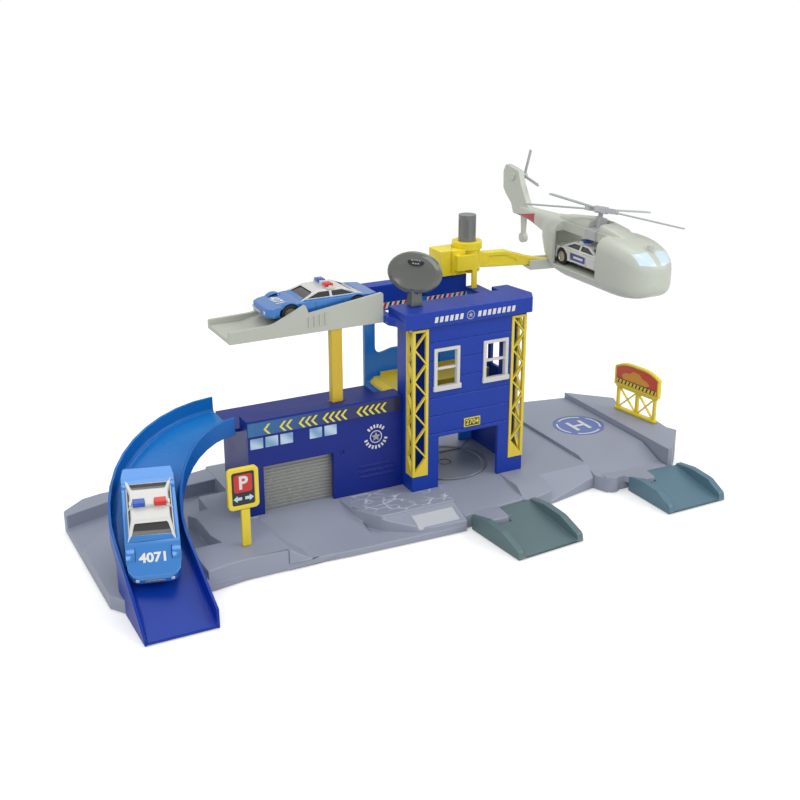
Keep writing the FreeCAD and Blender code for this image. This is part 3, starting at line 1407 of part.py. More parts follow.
def make_cars():
    half = float(car_length / 2)
    flank = prism(
        "car_flank", "XZ",
        [(-half + 0.8, 3.4), (-half, 4.4), (-half + 0.3, 7.2), (-half + 1.6, 8.8), (-14, belt - 0.2),
         (26, belt), (half - 2, 10.8), (half - 0.6, 9.6), (half, 4.6), (half - 0.8, 3.6)],
        (-car_half, car_half),
    )
    plan = prism(
        "car_plan", "XY",
        [(-half, -7), (-half + 1.6, -11), (-half + 5, -13.3), (-half + 11, -car_half),
         (half - 8, -car_half), (half - 2, -13), (half, -10.4), (half, 10.4), (half - 2, 13),
         (half - 8, car_half), (-half + 11, car_half), (-half + 5, 13.3), (-half + 1.6, 11),
         (-half, 7)],
        (2, 13),
    )
    lower = common("car_lower", flank, plan)
    outer = cabin("cabin_outer", 0, float(car_roof))
    inner = cabin("cabin_inner", 0.9, float(car_roof) - 0.9)
    side_panes = [
        prism(f"side_pane_{index}", "XZ", corners, (-15, 15))
        for index, corners in enumerate((
            [(-9.5, belt + 0.6), (4.6, belt + 0.6), (4.6, 14.6), (-1.6, 14.6)],
            [(6.2, belt + 0.6), (19.5, belt + 0.6), (12.6, 14.6), (6.2, 14.6)],
        ))
    ]
    long_pane = prism("long_pane", "YZ",
                      [(-10.4, belt + 0.5), (10.4, belt + 0.5), (8.6, 14.5), (-8.6, 14.5)],
                      (-20, 32))
    shell = cut("cabin_shell", outer, [inner, long_pane] + side_panes)
    arches = []
    for index, x in enumerate((-axle_from_middle, axle_from_middle)):
        for side in (0, 1):
            span = (-15, -9.4) if side == 0 else (9.4, 15)
            arches.append(roller(f"arch_{index}{side}", (x, wheel_radius), 6.2, span))
    pan_void = box("pan_void", (-30, 30), (-9.4, 9.4), (0, 7.2))
    body = fuse("car_shell", [cut("car_cut", lower, arches + [pan_void]), shell])

    glass = cut("car_glass", inner, [cabin("cabin_room", 1.7, float(car_roof) - 1.8)])
    deck_cut = box("glass_trim", (-20, 30), (-15, 15), (0, belt + 0.1))
    glass = cut("car_glazing", glass, [deck_cut])

    plate = box("chassis_plate", (-29.8, 29.8), (-9.2, 9.2), (2.5, 4.2))
    cradles = []
    bores = []
    for index, x in enumerate((-axle_from_middle, axle_from_middle)):
        cradles.append(box(f"cradle_{index}", (x - 2.4, x + 2.4), (-9.2, 9.2), (3, 7.1)))
        bores.append(rod(f"axle_bore_{index}", (x, wheel_radius), axle_radius + running_gap,
                         (-10, 10), "Y"))
    chassis = cut("car_chassis", fuse("chassis_solid", [plate] + cradles), bores)

    bar_top = car_roof + 2.7
    bar = prism(
        "car_bar", "YZ",
        [(-10.6, car_roof), (10.6, car_roof), (10.6, bar_top - 0.8), (9.8, bar_top),
         (-9.8, bar_top), (-10.6, bar_top - 0.8)],
        (3.4, 8.2),
    )

    shaft = rod("axle_shaft", (0, 0), axle_radius, (-12, 12), "Y")
    wheels = [
        roller(f"wheel_{index}", (0, 0), wheel_radius, span)
        for index, span in enumerate(((-14.1, -14.1 + wheel_width), (14.1 - wheel_width, 14.1)))
    ]
    axle = fuse("car_axle", [shaft] + wheels)

    level = Rotation()
    down_lane = Rotation(UP, 90)
    places = {
        "ramp_car": Placement(Vector(-45.2, 37, ramp_floor + 0.3), level),
        "slide_car": Placement(Vector(-165.8, -17, 34.8),
                               Rotation(UP, 75.6) * Rotation(Vector(0, 1, 0), -29.6)),
        "helicopter_car": Placement(Vector(heli_x, 11.5, bay_floor + 0.3), down_lane),
    }
    for name, where in places.items():
        for suffix, source, offset in (
            ("body", body, Vector()),
            ("glazing", glass, Vector()),
            ("chassis", chassis, Vector()),
            ("light_bar", bar, Vector()),
            ("front_axle", axle, Vector(-axle_from_middle, 0, wheel_radius)),
            ("rear_axle", axle, Vector(axle_from_middle, 0, wheel_radius)),
        ):
            piece = group(f"{name}_{suffix}", [source])
            piece.Placement = where * Placement(offset, Rotation())
            keep(piece, f"{name}_{suffix}")


make_cars()

doc.recompute()
for thing in doc.Objects:
    if "Invalid" in thing.State or "Error" in thing.State:
        raise RuntimeError(f"{thing.Name} ({thing.Label}) is {thing.State}")
os.makedirs("parts", exist_ok=True)
for thing in sub_parts:
    shape = thing.Shape
    if shape.isNull() or not shape.isValid():
        raise RuntimeError(f"{thing.Label} has no valid shape")
    shape.exportStep(f"parts/{thing.Label}.step")
print(len(sub_parts), "sub-parts")
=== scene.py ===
import bpy
import json
import math
from mathutils import Matrix, Vector


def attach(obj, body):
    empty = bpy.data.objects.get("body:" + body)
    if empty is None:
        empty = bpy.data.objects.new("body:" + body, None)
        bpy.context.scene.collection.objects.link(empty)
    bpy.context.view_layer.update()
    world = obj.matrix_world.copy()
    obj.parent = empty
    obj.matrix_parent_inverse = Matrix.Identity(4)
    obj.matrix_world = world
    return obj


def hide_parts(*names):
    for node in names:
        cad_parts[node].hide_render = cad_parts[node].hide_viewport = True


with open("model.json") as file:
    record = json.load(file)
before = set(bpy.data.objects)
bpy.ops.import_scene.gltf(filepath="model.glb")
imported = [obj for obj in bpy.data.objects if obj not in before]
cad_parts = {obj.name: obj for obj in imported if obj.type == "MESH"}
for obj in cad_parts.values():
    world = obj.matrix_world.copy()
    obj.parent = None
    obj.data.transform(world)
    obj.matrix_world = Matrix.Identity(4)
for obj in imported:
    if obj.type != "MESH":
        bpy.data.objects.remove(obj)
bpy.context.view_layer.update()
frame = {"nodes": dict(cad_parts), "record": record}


# The three trays of the floor: grey moulded plastic, hollow underneath and clipped edge to
# edge, with softened edges painted a little paler, partly as rubbed wear and partly as a
# painted highlight. The front corner is moulded as crazy paving with pale joints.
mm = 0.001
nodes = frame["nodes"]
bodies = frame["record"]["behaviour"]["bodies"]
body_of_node = {node: body for body, names in bodies.items() for node in names}


def wire(tree, kind, operation=None, **values):
    """A shader node with its operation and the plain values of its sockets, by place."""
    made = tree.nodes.new(kind)
    if operation:
        made.operation = operation
    for place, value in values.items():
        made.inputs[int(place[1:])].default_value = value
    return made


def mixed(tree, first=None, second=None):
    """A mix of two colours, where one that isn't given comes from another node."""
    mix = tree.nodes.new("ShaderNodeMix")
    mix.data_type = "RGBA"
    if first:
        mix.inputs["A"].default_value = (*first, 1)
    if second:
        mix.inputs["B"].default_value = (*second, 1)
    return mix


grain = bpy.data.node_groups.new("moulded_grain", "ShaderNodeTree")
for name, kind, value in (
    ("Colour", "NodeSocketColor", (0.5, 0.5, 0.5, 1)),
    ("Mottle", "NodeSocketFloat", 0.06),
    ("Roughness", "NodeSocketFloat", 0.4),
    ("Relief", "NodeSocketFloat", 0.3),
    ("Grain Size", "NodeSocketFloat", 900.0),
    ("Wear And Highlight", "NodeSocketFloat", 0.35),
):
    socket = grain.interface.new_socket(name, in_out="INPUT", socket_type=kind)
    socket.default_value = value
for name, kind in (
    ("Colour", "NodeSocketColor"),
    ("Roughness", "NodeSocketFloat"),
    ("Normal", "NodeSocketVector"),
):
    grain.interface.new_socket(name, in_out="OUTPUT", socket_type=kind)
cloud_scale = 26
edge_patch_scale = 210
highlight_and_wear_gain = (1.25, 1.25, 1.25)
highlight_and_wear_lift = (0.06, 0.06, 0.06)
gloss_swing = 0.22
rubbed_polish = -0.16
dimple_depth = 0.04 * mm
given = grain.nodes.new("NodeGroupInput")
taken = grain.nodes.new("NodeGroupOutput")
place = grain.nodes.new("ShaderNodeTexCoord")
cloud = wire(grain, "ShaderNodeTexNoise")
edge_patches = wire(grain, "ShaderNodeTexNoise")
speck = wire(grain, "ShaderNodeTexNoise")
for pattern, detail in ((cloud, 4), (edge_patches, 3), (speck, 2)):
    pattern.inputs["Detail"].default_value = detail
    grain.links.new(place.outputs["Object"], pattern.inputs["Vector"])
cloud.inputs["Scale"].default_value = cloud_scale
edge_patches.inputs["Scale"].default_value = edge_patch_scale
grain.links.new(given.outputs["Grain Size"], speck.inputs["Scale"])
# Edge faces marked by the rounding are painted paler, partly as rubbed wear and partly as a
# painted highlight, and are made a little smoother.
edge = grain.nodes.new("ShaderNodeAttribute")
edge.attribute_name = "rubbed_and_highlit"
rubbed_and_highlit = wire(grain, "ShaderNodeMath", "MULTIPLY")
grain.links.new(edge.outputs["Fac"], rubbed_and_highlit.inputs[0])
grain.links.new(edge_patches.outputs["Fac"], rubbed_and_highlit.inputs[1])
paler_wear_and_highlight = wire(grain, "ShaderNodeMath", "MULTIPLY")
grain.links.new(rubbed_and_highlit.outputs[0], paler_wear_and_highlight.inputs[0])
grain.links.new(given.outputs["Wear And Highlight"], paler_wear_and_highlight.inputs[1])
centred = wire(grain, "ShaderNodeMath", "SUBTRACT", i1=0.5)
grain.links.new(cloud.outputs["Fac"], centred.inputs[0])
swing = wire(grain, "ShaderNodeMath", "MULTIPLY_ADD", i2=1.0)
grain.links.new(centred.outputs[0], swing.inputs[0])
grain.links.new(given.outputs["Mottle"], swing.inputs[1])
tint = wire(grain, "ShaderNodeVectorMath", "SCALE")
grain.links.new(given.outputs["Colour"], tint.inputs[0])
grain.links.new(swing.outputs[0], tint.inputs["Scale"])
bared_and_highlit = wire(grain, "ShaderNodeVectorMath", "MULTIPLY_ADD", i1=highlight_and_wear_gain, i2=highlight_and_wear_lift)
grain.links.new(tint.outputs[0], bared_and_highlit.inputs[0])
worn_and_highlit = mixed(grain)
grain.links.new(paler_wear_and_highlight.outputs[0], worn_and_highlit.inputs["Factor"])
grain.links.new(tint.outputs[0], worn_and_highlit.inputs["A"])
grain.links.new(bared_and_highlit.outputs[0], worn_and_highlit.inputs["B"])
grain.links.new(worn_and_highlit.outputs["Result"], taken.inputs["Colour"])
gloss = wire(grain, "ShaderNodeMath", "MULTIPLY_ADD", i1=gloss_swing)
grain.links.new(centred.outputs[0], gloss.inputs[0])
grain.links.new(given.outputs["Roughness"], gloss.inputs[2])
smoother = wire(grain, "ShaderNodeMath", "MULTIPLY_ADD", i1=rubbed_polish)
grain.links.new(rubbed_and_highlit.outputs[0], smoother.inputs[0])
grain.links.new(gloss.outputs[0], smoother.inputs[2])
grain.links.new(smoother.outputs[0], taken.inputs["Roughness"])
dimple = grain.nodes.new("ShaderNodeBump")
dimple.inputs["Distance"].default_value = dimple_depth
grain.links.new(given.outputs["Relief"], dimple.inputs["Strength"])
grain.links.new(speck.outputs["Fac"], dimple.inputs["Height"])
grain.links.new(dimple.outputs["Normal"], taken.inputs["Normal"])


def tuned(made, socket, value):
    """One plain value on the shader of a material."""
    made.node_tree.nodes["Principled BSDF"].inputs[socket].default_value = value


def moulded(name, colour, roughness=0.4, mottle=0.08, relief=0.3, size=900.0, wear_and_highlight=0.3, coat=0.0):
    """A plastic coloured in the mass, with its satin grain, and its edges painted paler as rubbed
    wear and as a painted highlight.
    """
    made = bpy.data.materials.new(name)
    made.use_nodes = True
    skin = made.node_tree.nodes["Principled BSDF"]
    group = made.node_tree.nodes.new("ShaderNodeGroup")
    group.node_tree = grain
    for socket, value in (
        ("Colour", (*colour, 1)),
        ("Mottle", mottle),
        ("Roughness", roughness),
        ("Relief", relief),
        ("Grain Size", size),
        ("Wear And Highlight", wear_and_highlight),
    ):
        group.inputs[socket].default_value = value
    made.node_tree.links.new(group.outputs["Colour"], skin.inputs["Base Color"])
    made.node_tree.links.new(group.outputs["Roughness"], skin.inputs["Roughness"])
    made.node_tree.links.new(group.outputs["Normal"], skin.inputs["Normal"])
    tuned(made, "IOR", 1.47)
    if coat:
        tuned(made, "Coat Weight", coat)
        tuned(made, "Coat Roughness", 0.08)
    return made


def grain_of(made):
    """The first group in a material, which is its grain."""
    return next(node for node in made.node_tree.nodes if node.bl_idname == "ShaderNodeGroup")


def start_alone():
    """Nothing stays selected, and no object is in edit mode."""
    if bpy.context.object and bpy.context.object.mode != "OBJECT":
        bpy.ops.object.mode_set(mode="OBJECT")
    bpy.ops.object.select_all(action="DESELECT")


def take_up(thing):
    """Only this object is selected, and it is the active one."""
    start_alone()
    thing.select_set(True)
    bpy.context.view_layer.objects.active = thing


def settle(thing, body, finish):
    """The finished piece lies at the origin, rides on its body and has its material."""
    take_up(thing)
    bpy.ops.object.transform_apply(location=True, rotation=True, scale=True)
    thing.data.materials.clear()
    thing.data.materials.append(finish)
    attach(thing, body)
    start_alone()


def eased(node, width, finish, sharp=28.0, segments=2, holes=None, tight=False):
    """The moulding with its edges rounded over, in place of the plain solid."""
    weld = 0.004 * mm
    sliver = 0.04 * mm
    flat = math.radians(0.5)
    crease = math.radians(40)
    shell = bpy.data.objects.new(node + "_moulding", nodes[node].data.copy())
    bpy.context.scene.collection.objects.link(shell)
    take_up(shell)
    bpy.ops.object.mode_set(mode="EDIT")
    bpy.ops.mesh.select_all(action="SELECT")
    bpy.ops.mesh.remove_doubles(threshold=weld)
    bpy.ops.object.mode_set(mode="OBJECT")
    if holes:
        punched = shell.modifiers.new("punched", "BOOLEAN")
        punched.object = holes
        punched.operation = "DIFFERENCE"
        punched.solver = "EXACT"
        bpy.ops.object.modifier_apply(modifier=punched.name)
        bpy.data.objects.remove(holes)
    bpy.ops.object.mode_set(mode="EDIT")
    bpy.ops.mesh.select_all(action="SELECT")
    bpy.ops.mesh.dissolve_degenerate(threshold=sliver)
    bpy.ops.mesh.tris_convert_to_quads(face_threshold=flat)
    bpy.ops.object.mode_set(mode="OBJECT")
    shell.data.materials.clear()
    for slot in ("flat_faces", "rounded_edges"):
        shell.data.materials.append(finish)
    for face in shell.data.polygons:
        face.material_index = 0
    rounding = shell.modifiers.new("rounded_edges", "BEVEL")
    rounding.width = width
    rounding.segments = segments
    rounding.limit_method = "ANGLE"
    rounding.angle_limit = math.radians(sharp)
    rounding.use_clamp_overlap = tight
    rounding.material = 1
    bpy.ops.object.modifier_apply(modifier=rounding.name)
    # The rounded edge faces are marked so that the grain paints them paler: rubbed wear and a
    # painted highlight.
    rubbed_and_highlit_faces = shell.data.attributes.new("rubbed_and_highlit", "FLOAT", "FACE")
    for face in shell.data.polygons:
        rubbed_and_highlit_faces.data[face.index].value = float(face.material_index)
        face.material_index = 0
    bpy.ops.object.shade_smooth_by_angle(angle=crease)
    evened = shell.modifiers.new("even_shading", "WEIGHTED_NORMAL")
    evened.keep_sharp = True
    bpy.ops.object.modifier_apply(modifier=evened.name)
    settle(shell, body_of_node[node], finish)
    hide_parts(node)
    return shell


tray_colour = (0.29, 0.317, 0.395)
tray_grey = moulded("tray_grey", tray_colour, 0.45, 0.1)
paved_grey = moulded("paved_grey", tray_colour, 0.45, 0.1)
paving = bpy.data.node_groups.new("crazy_paving", "ShaderNodeTree")
paving.interface.new_socket("Joints", in_out="OUTPUT", socket_type="NodeSocketFloat")
paving.interface.new_socket("Panel", in_out="OUTPUT", socket_type="NodeSocketFloat")
laid = paving.nodes.new("NodeGroupOutput")
paved_spot = paving.nodes.new("ShaderNodeTexCoord")
paved_axes = paving.nodes.new("ShaderNodeSeparateXYZ")
paving.links.new(paved_spot.outputs["Object"], paved_axes.inputs[0])


def within(axis, low, high):
    """One between two places in mm along an axis, and nought elsewhere."""
    test = wire(paving, "ShaderNodeMath", "COMPARE", i1=(low + high) / 2 * mm,
                i2=(high - low) / 2 * mm)
    paving.links.new(paved_axes.outputs[axis], test.inputs[0])
    return test.outputs[0]


def times(first, second):
    """The product of two masks."""
    product = wire(paving, "ShaderNodeMath", "MULTIPLY")
    paving.links.new(first, product.inputs[0])
    paving.links.new(second, product.inputs[1])
    return product.outputs[0]


stone_scale = 105
patch_scale = 90
joint_relief = 0.3 * mm
stretched = wire(paving, "ShaderNodeMapping")
stretched.inputs["Scale"].default_value = (1, 1.7, 1)
stretched.inputs["Rotation"].default_value = (0, 0, 0.35)
paving.links.new(paved_spot.outputs["Object"], stretched.inputs["Vector"])
stones = paving.nodes.new("ShaderNodeTexVoronoi")
stones.feature = "DISTANCE_TO_EDGE"
stones.inputs["Scale"].default_value = stone_scale
paving.links.new(stretched.outputs[0], stones.inputs["Vector"])
joint = wire(paving, "ShaderNodeMapRange", i1=0.02, i2=0.09, i3=1.0, i4=0.0)
paving.links.new(stones.outputs["Distance"], joint.inputs[0])
broken = wire(paving, "ShaderNodeTexNoise")
broken.inputs["Scale"].default_value = patch_scale
paving.links.new(paved_spot.outputs["Object"], broken.inputs["Vector"])
patchy = wire(paving, "ShaderNodeMapRange", i1=0.42, i2=0.6)
paving.links.new(broken.outputs["Fac"], patchy.inputs[0])
top_only = times(within("Y", -19, 12), within("Z", 13.2, 15))
corner_only = times(within("X", -39, 30), top_only)
joints = times(times(joint.outputs[0], patchy.outputs[0]), corner_only)
paving.links.new(joints, laid.inputs["Joints"])
panel = times(times(within("X", -12.8, 14.8), within("Y", -33.4, -23.2)), within("Z", 6, 12.5))
paving.links.new(panel, laid.inputs["Panel"])

tree = paved_grey.node_tree
group = tree.nodes.new("ShaderNodeGroup")
group.node_tree = paving
jointed = mixed(tree, tray_colour, (0.62, 0.66, 0.76))
tree.links.new(group.outputs["Joints"], jointed.inputs["Factor"])
panelled = mixed(tree, None, (0.5, 0.52, 0.56))
tree.links.new(group.outputs["Panel"], panelled.inputs["Factor"])
tree.links.new(jointed.outputs["Result"], panelled.inputs["A"])
tree.links.new(panelled.outputs["Result"], grain_of(paved_grey).inputs["Colour"])
ridge = tree.nodes.new("ShaderNodeBump")
ridge.inputs["Distance"].default_value = joint_relief
ridge.inputs["Strength"].default_value = 0.6
tree.links.new(group.outputs["Joints"], ridge.inputs["Height"])
tree.links.new(grain_of(paved_grey).outputs["Normal"], ridge.inputs["Normal"])
tree.links.new(ridge.outputs["Normal"], tree.nodes["Principled BSDF"].inputs["Normal"])
for tray, finish in (
    ("base_left", paved_grey),
    ("base_centre", paved_grey),
    ("base_right", tray_grey),
):
    eased(tray, 0.6 * mm, finish, tight=tray == "base_right")


# The landing pad: a blue printed disc stuck on the right tray, with a white H, an open white
# ring round it, and a fine sheen where the print lies over the plastic.
def moved(x, y, z=0.0):
    """A shift of so many mm."""
    return Matrix.Translation((x * mm, y * mm, z * mm))


def turned(angle, axis="Z"):
    """A turn of so many degrees."""
    return Matrix.Rotation(math.radians(angle), 4, axis)


def raised(label, depth):
    """The outline, which is in edit mode, gets its thickness and faces up."""
    bpy.ops.mesh.select_all(action="SELECT")
    bpy.ops.mesh.extrude_region_move(TRANSFORM_OT_translate={"value": (0, 0, depth * mm)})
    bpy.ops.mesh.select_all(action="SELECT")
    bpy.ops.mesh.normals_make_consistent(inside=False)
    bpy.ops.object.mode_set(mode="OBJECT")
    return label


def disc(radius, depth):
    """A round label."""
    start_alone()
    bpy.ops.mesh.primitive_circle_add(vertices=48, radius=radius * mm, fill_type="NGON")
    bpy.ops.object.mode_set(mode="EDIT")
    return raised(bpy.context.object, depth)


def hoop(outer, inner, depth=0.12, gaps=()):
    """A ring, left out where a gap of so many degrees lies."""
    start_alone()
    bpy.ops.mesh.primitive_circle_add(vertices=60, radius=outer * mm, fill_type="NGON")
    ring = bpy.context.object
    bpy.ops.object.mode_set(mode="EDIT")
    bpy.ops.mesh.select_all(action="SELECT")
    bpy.ops.mesh.inset(thickness=(outer - inner) * mm)
    bpy.ops.mesh.delete(type="FACE")
    bpy.ops.object.mode_set(mode="OBJECT")
    for face in ring.data.polygons:
        angle = math.degrees(math.atan2(face.center.y, face.center.x)) % 360
        face.select = any(low <= angle <= high for low, high in gaps)
    bpy.ops.object.mode_set(mode="EDIT")
    if gaps:
        bpy.ops.mesh.delete(type="FACE")
    return raised(ring, depth)


def cut_label(points, depth=0.12):
    """A label cut to an outline: a flat disc whose corners are drawn to the points."""
    start_alone()
    bpy.ops.mesh.primitive_circle_add(vertices=len(points), radius=mm, fill_type="NGON")
    label = bpy.context.object
    for corner, (x, y) in zip(label.data.vertices, points):
        corner.co = (x * mm, y * mm, 0)
    bpy.ops.object.mode_set(mode="EDIT")
    return raised(label, depth)


def card(width, height, corner=0.4, depth=0.12):
    """A label with rounded corners."""
    start_alone()
    bpy.ops.mesh.primitive_plane_add(size=mm)
    label = bpy.context.object
    label.scale = (width, height, 1)
    bpy.ops.object.transform_apply(location=False, rotation=False, scale=True)
    bpy.ops.object.mode_set(mode="EDIT")
    bpy.ops.mesh.select_all(action="SELECT")
    bpy.ops.mesh.bevel(offset=corner * mm, segments=3, affect="VERTICES")
    return raised(label, depth)


def twin(thing):
    """A copy with its own mesh."""
    copy = thing.copy()
    copy.data = thing.data.copy()
    bpy.context.scene.collection.objects.link(copy)
    return copy


def stamp(label, x, y, turn=0.0, lift=0.0):
    """A copy of a label, laid at a place in mm."""
    copy = twin(label)
    copy.matrix_world = moved(x, y, lift) @ turned(turn)
    return copy


def joined(things):
    """All the things become one object, under the first."""
    bpy.context.view_layer.update()
    take_up(things[0])
    for thing in things:
        thing.select_set(True)
    if len(things) > 1:
        bpy.ops.object.join()
    return bpy.context.object


def applied(name, labels, wall, body, finish, spare=()):
    """The labels become one piece, which is laid on its wall, and their patterns go."""
    for label in spare:
        bpy.data.objects.remove(label)
    whole = joined(labels)
    whole.name = name
    whole.matrix_world = wall @ whole.matrix_world
    settle(whole, body, finish)


def printed(name, colour, roughness=0.3):
    """A label's ink: even, with a faint weave of the paper and a thin film over it."""
    return moulded(name, colour, roughness, 0.05, relief=0.12, size=2400.0, wear_and_highlight=0.0, coat=0.25)


ink_white = printed("ink_white", (0.68, 0.68, 0.66))
ink_black = printed("ink_black", (0.012, 0.012, 0.016))
ink_red = printed("ink_red", (0.55, 0.02, 0.02))
ink_yellow = printed("ink_yellow", (0.75, 0.66, 0.05))
pad_blue = printed("pad_blue", (0.1, 0.16, 0.42), 0.4)
disc_depth = 0.3
pad = moved(150, 40, 15.61)
pad_top = pad @ moved(0, 0, disc_depth)
ring_gaps = ((35, 55), (125, 145), (215, 235), (305, 325))
applied("landing_disc", [disc(17.3, disc_depth)], pad, "playset", pad_blue)
applied("landing_ring", [hoop(15.3, 14.1, gaps=ring_gaps)], pad_top, "playset", ink_white)
bar = card(2.6, 15, 0.3)
cross = card(7.2, 2.4, 0.05)
applied("landing_letter", [stamp(bar, -4.8, 0), stamp(bar, 4.8, 0), stamp(cross, 0, 0)],
        pad_top, "playset", ink_white, spare=(bar, cross))


# The turntable in the tower: a dished disc of grey plastic, moulded in one and turning on a
# pivot in the middle tray. Its rim is painted bright like its other edges: a painted highlight
# and rubbed wear.
turntable_grey = moulded("turntable_grey", (0.2, 0.22, 0.26), 0.36)
eased("turntable", 0.4 * mm, turntable_grey)


# The garage: dark blue moulded walls and a roof with a lane, clipped to the tray. Its kerb
# carries a printed band that darkens to the right, and the wall has pane and badge labels.
garage_blue = moulded("garage_blue", (0.004, 0.019, 0.225), 0.36, 0.06, wear_and_highlight=0.12)
tuned(garage_blue, "Specular IOR Level", 0.35)
for wall in ("garage_front_wall", "garage_end_wall", "garage_roof", "door_guides"):
    eased(wall, 0.35 * mm, garage_blue, tight=wall == "garage_roof")
door_silver = moulded("door_silver", (0.3, 0.31, 0.29), 0.34, 0.08)
tuned(door_silver, "Metallic", 0.35)
eased("roller_door", 0.2 * mm, door_silver)


def front_at(depth):
    """The frame of an upright surface that faces the front, at a depth in mm."""
    upright = Matrix(((1, 0, 0, 0), (0, 0, -1, 0), (0, 1, 0, 0), (0, 0, 0, 1)))
    return moved(0, depth) @ upright


def ramped(made, axis, low, high, stops):
    """The colour runs along an axis through the stops, from low to high in mm."""
    tree = made.node_tree
    spot = tree.nodes.new("ShaderNodeTexCoord")
    axes = tree.nodes.new("ShaderNodeSeparateXYZ")
    span = wire(tree, "ShaderNodeMapRange", i1=low * mm, i2=high * mm)
    run = tree.nodes.new("ShaderNodeValToRGB")
    while len(run.color_ramp.elements) < len(stops):
        run.color_ramp.elements.new(0.5)
    for element, (share, colour) in zip(run.color_ramp.elements, stops):
        element.position = share
        element.color = (*colour, 1)
    tree.links.new(spot.outputs["Object"], axes.inputs[0])
    tree.links.new(axes.outputs[axis], span.inputs[0])
    tree.links.new(span.outputs[0], run.inputs["Fac"])
    tree.links.new(run.outputs["Color"], grain_of(made).inputs["Colour"])


film = 0.08
kerb_face = 12
wall_face = 13
band_print = printed("band_print", (0.02, 0.1, 0.3))
ramped(band_print, "X", -99, -3, (
    (0, (0.018, 0.14, 0.36)),
    (0.18, (0.016, 0.11, 0.31)),
    (0.5, (0.01, 0.03, 0.16)),
    (1, (0.008, 0.008, 0.05)),
))
band = card(97.4, 8.2, 0.3, film)
applied("kerb_band", [stamp(band, -50.4, 68.3)], front_at(kerb_face), "playset", band_print,
        spare=(band,))
chevron = cut_label(
    ((-1.9, 0), (0.9, 3.1), (2.4, 3.1), (-0.4, 0), (2.4, -3.1), (0.9, -3.1)), film)
chevron_pitch = 3.9
chevron_level = 67.6
marks = []
for count, middle in enumerate((-87.7, -76.0, -62.2, -45.2, -21.4), start=1):
    for index in range(count):
        marks.append(stamp(chevron, middle + chevron_pitch * (index - (count - 1) / 2),
                           chevron_level))
applied("kerb_chevrons", marks, front_at(kerb_face - film), "playset", ink_yellow,
        spare=(chevron,))

pane_print = printed("pane_print", (0.35, 0.51, 0.68), 0.15)
tree = pane_print.node_tree
shine = tree.nodes.new("ShaderNodeTexWave")
shine.wave_type = "BANDS"
shine.bands_direction = "DIAGONAL"
shine.inputs["Scale"].default_value = 38
shine.inputs["Distortion"].default_value = 3
pane_spot = tree.nodes.new("ShaderNodeTexCoord")
streaked = mixed(tree, (0.2, 0.36, 0.58), (0.5, 0.66, 0.8))
tree.links.new(pane_spot.outputs["Object"], shine.inputs["Vector"])
tree.links.new(shine.outputs["Fac"], streaked.inputs["Factor"])
tree.links.new(streaked.outputs["Result"], grain_of(pane_print).inputs["Colour"])
pane = card(7.8, 6.4, 0.25, film)
pane_level = 59.2
panes = [stamp(pane, middle, pane_level) for middle in (-93.6, -84.4, -75.2, -56.9, -47.5)]
applied("garage_panes", panes, front_at(wall_face), "playset", pane_print, spare=(pane,))


def ring_of_bars(radius, size, angles):
    """Short bars that stand round a circle, pointing at its centre."""
    bar = card(size[0], size[1], 0.12, film)
    bars = []
    for angle in angles:
        swept = math.radians(angle)
        bars.append(stamp(bar, radius * math.cos(swept), radius * math.sin(swept), angle - 90))
    bpy.data.objects.remove(bar)
    return bars


def star(outer, inner):
    """A five-pointed star."""
    corners = []
    for index in range(10):
        reach = outer if index % 2 == 0 else inner
        angle = math.radians(90 + 36 * index)
        corners.append((reach * math.cos(angle), reach * math.sin(angle)))
    return cut_label(corners, film)


badge_middle = (-17.9, 49.4)
badge = front_at(wall_face) @ moved(*badge_middle)
upper_bars = [46 + 17.6 * step for step in range(6)]
lower_bars = [195 + 18.6 * step for step in range(9)]
badge_bars = ring_of_bars(6.8, (1.2, 2.2), upper_bars + lower_bars)
applied("badge_ring", badge_bars + [hoop(4.0, 3.5, film)], badge, "playset", ink_white)
badge_silver = printed("badge_silver", (0.35, 0.36, 0.38), 0.25)
applied("badge_star", [star(3.1, 1.4)], badge, "playset", badge_silver)


# The tower: dark blue moulded walls scored like boards, windows with white surrounds, and a
# yellow plate with a number. Two yellow lattice trusses are pressed into its front corners.
tower_blue = moulded("tower_blue", (0.006, 0.04, 0.35), 0.36, 0.06, wear_and_highlight=0.12)
tuned(tower_blue, "Specular IOR Level", 0.35)
eased("tower_walls", 0.3 * mm, tower_blue)
surround_white = moulded("surround_white", (0.62, 0.62, 0.6), 0.38)
eased("window_frames", 0.2 * mm, surround_white)
truss_yellow = moulded("truss_yellow", (0.74, 0.58, 0.045), 0.34)
eased("number_plate", 0.15 * mm, truss_yellow)
plate_dark = moulded("plate_dark", (0.03, 0.06, 0.05), 0.4)
plate_film = 0.05
plate_middle = (41.05, 53.1)
plate_face = front_at(-0.4) @ moved(*plate_middle)


def sign(text, height, weight, depth):
    """A printed number or letter of so many mm, centred."""
    cap_share = 0.7
    start_alone()
    bpy.ops.object.text_add()
    written = bpy.context.object
    written.data.body = text
    written.data.size = height / cap_share * mm
    written.data.offset = weight * height * mm
    written.data.extrude = depth / 2 * mm
    written.data.align_x = "CENTER"
    written.data.align_y = "CENTER"
    written.data.resolution_u = 4
    bpy.ops.object.convert(target="MESH")
    written = bpy.context.object
    written.location.z = depth / 2 * mm
    bpy.ops.object.transform_apply(location=True, rotation=False, scale=False)
    return written


applied("number_field", [card(10, 4.6, 0.3, plate_film)], plate_face, "playset", plate_dark)
applied("number_digits", [sign("2704", 3.2, 0.025, plate_film)],
        plate_face @ moved(0, 0, plate_film), "playset", ink_yellow)

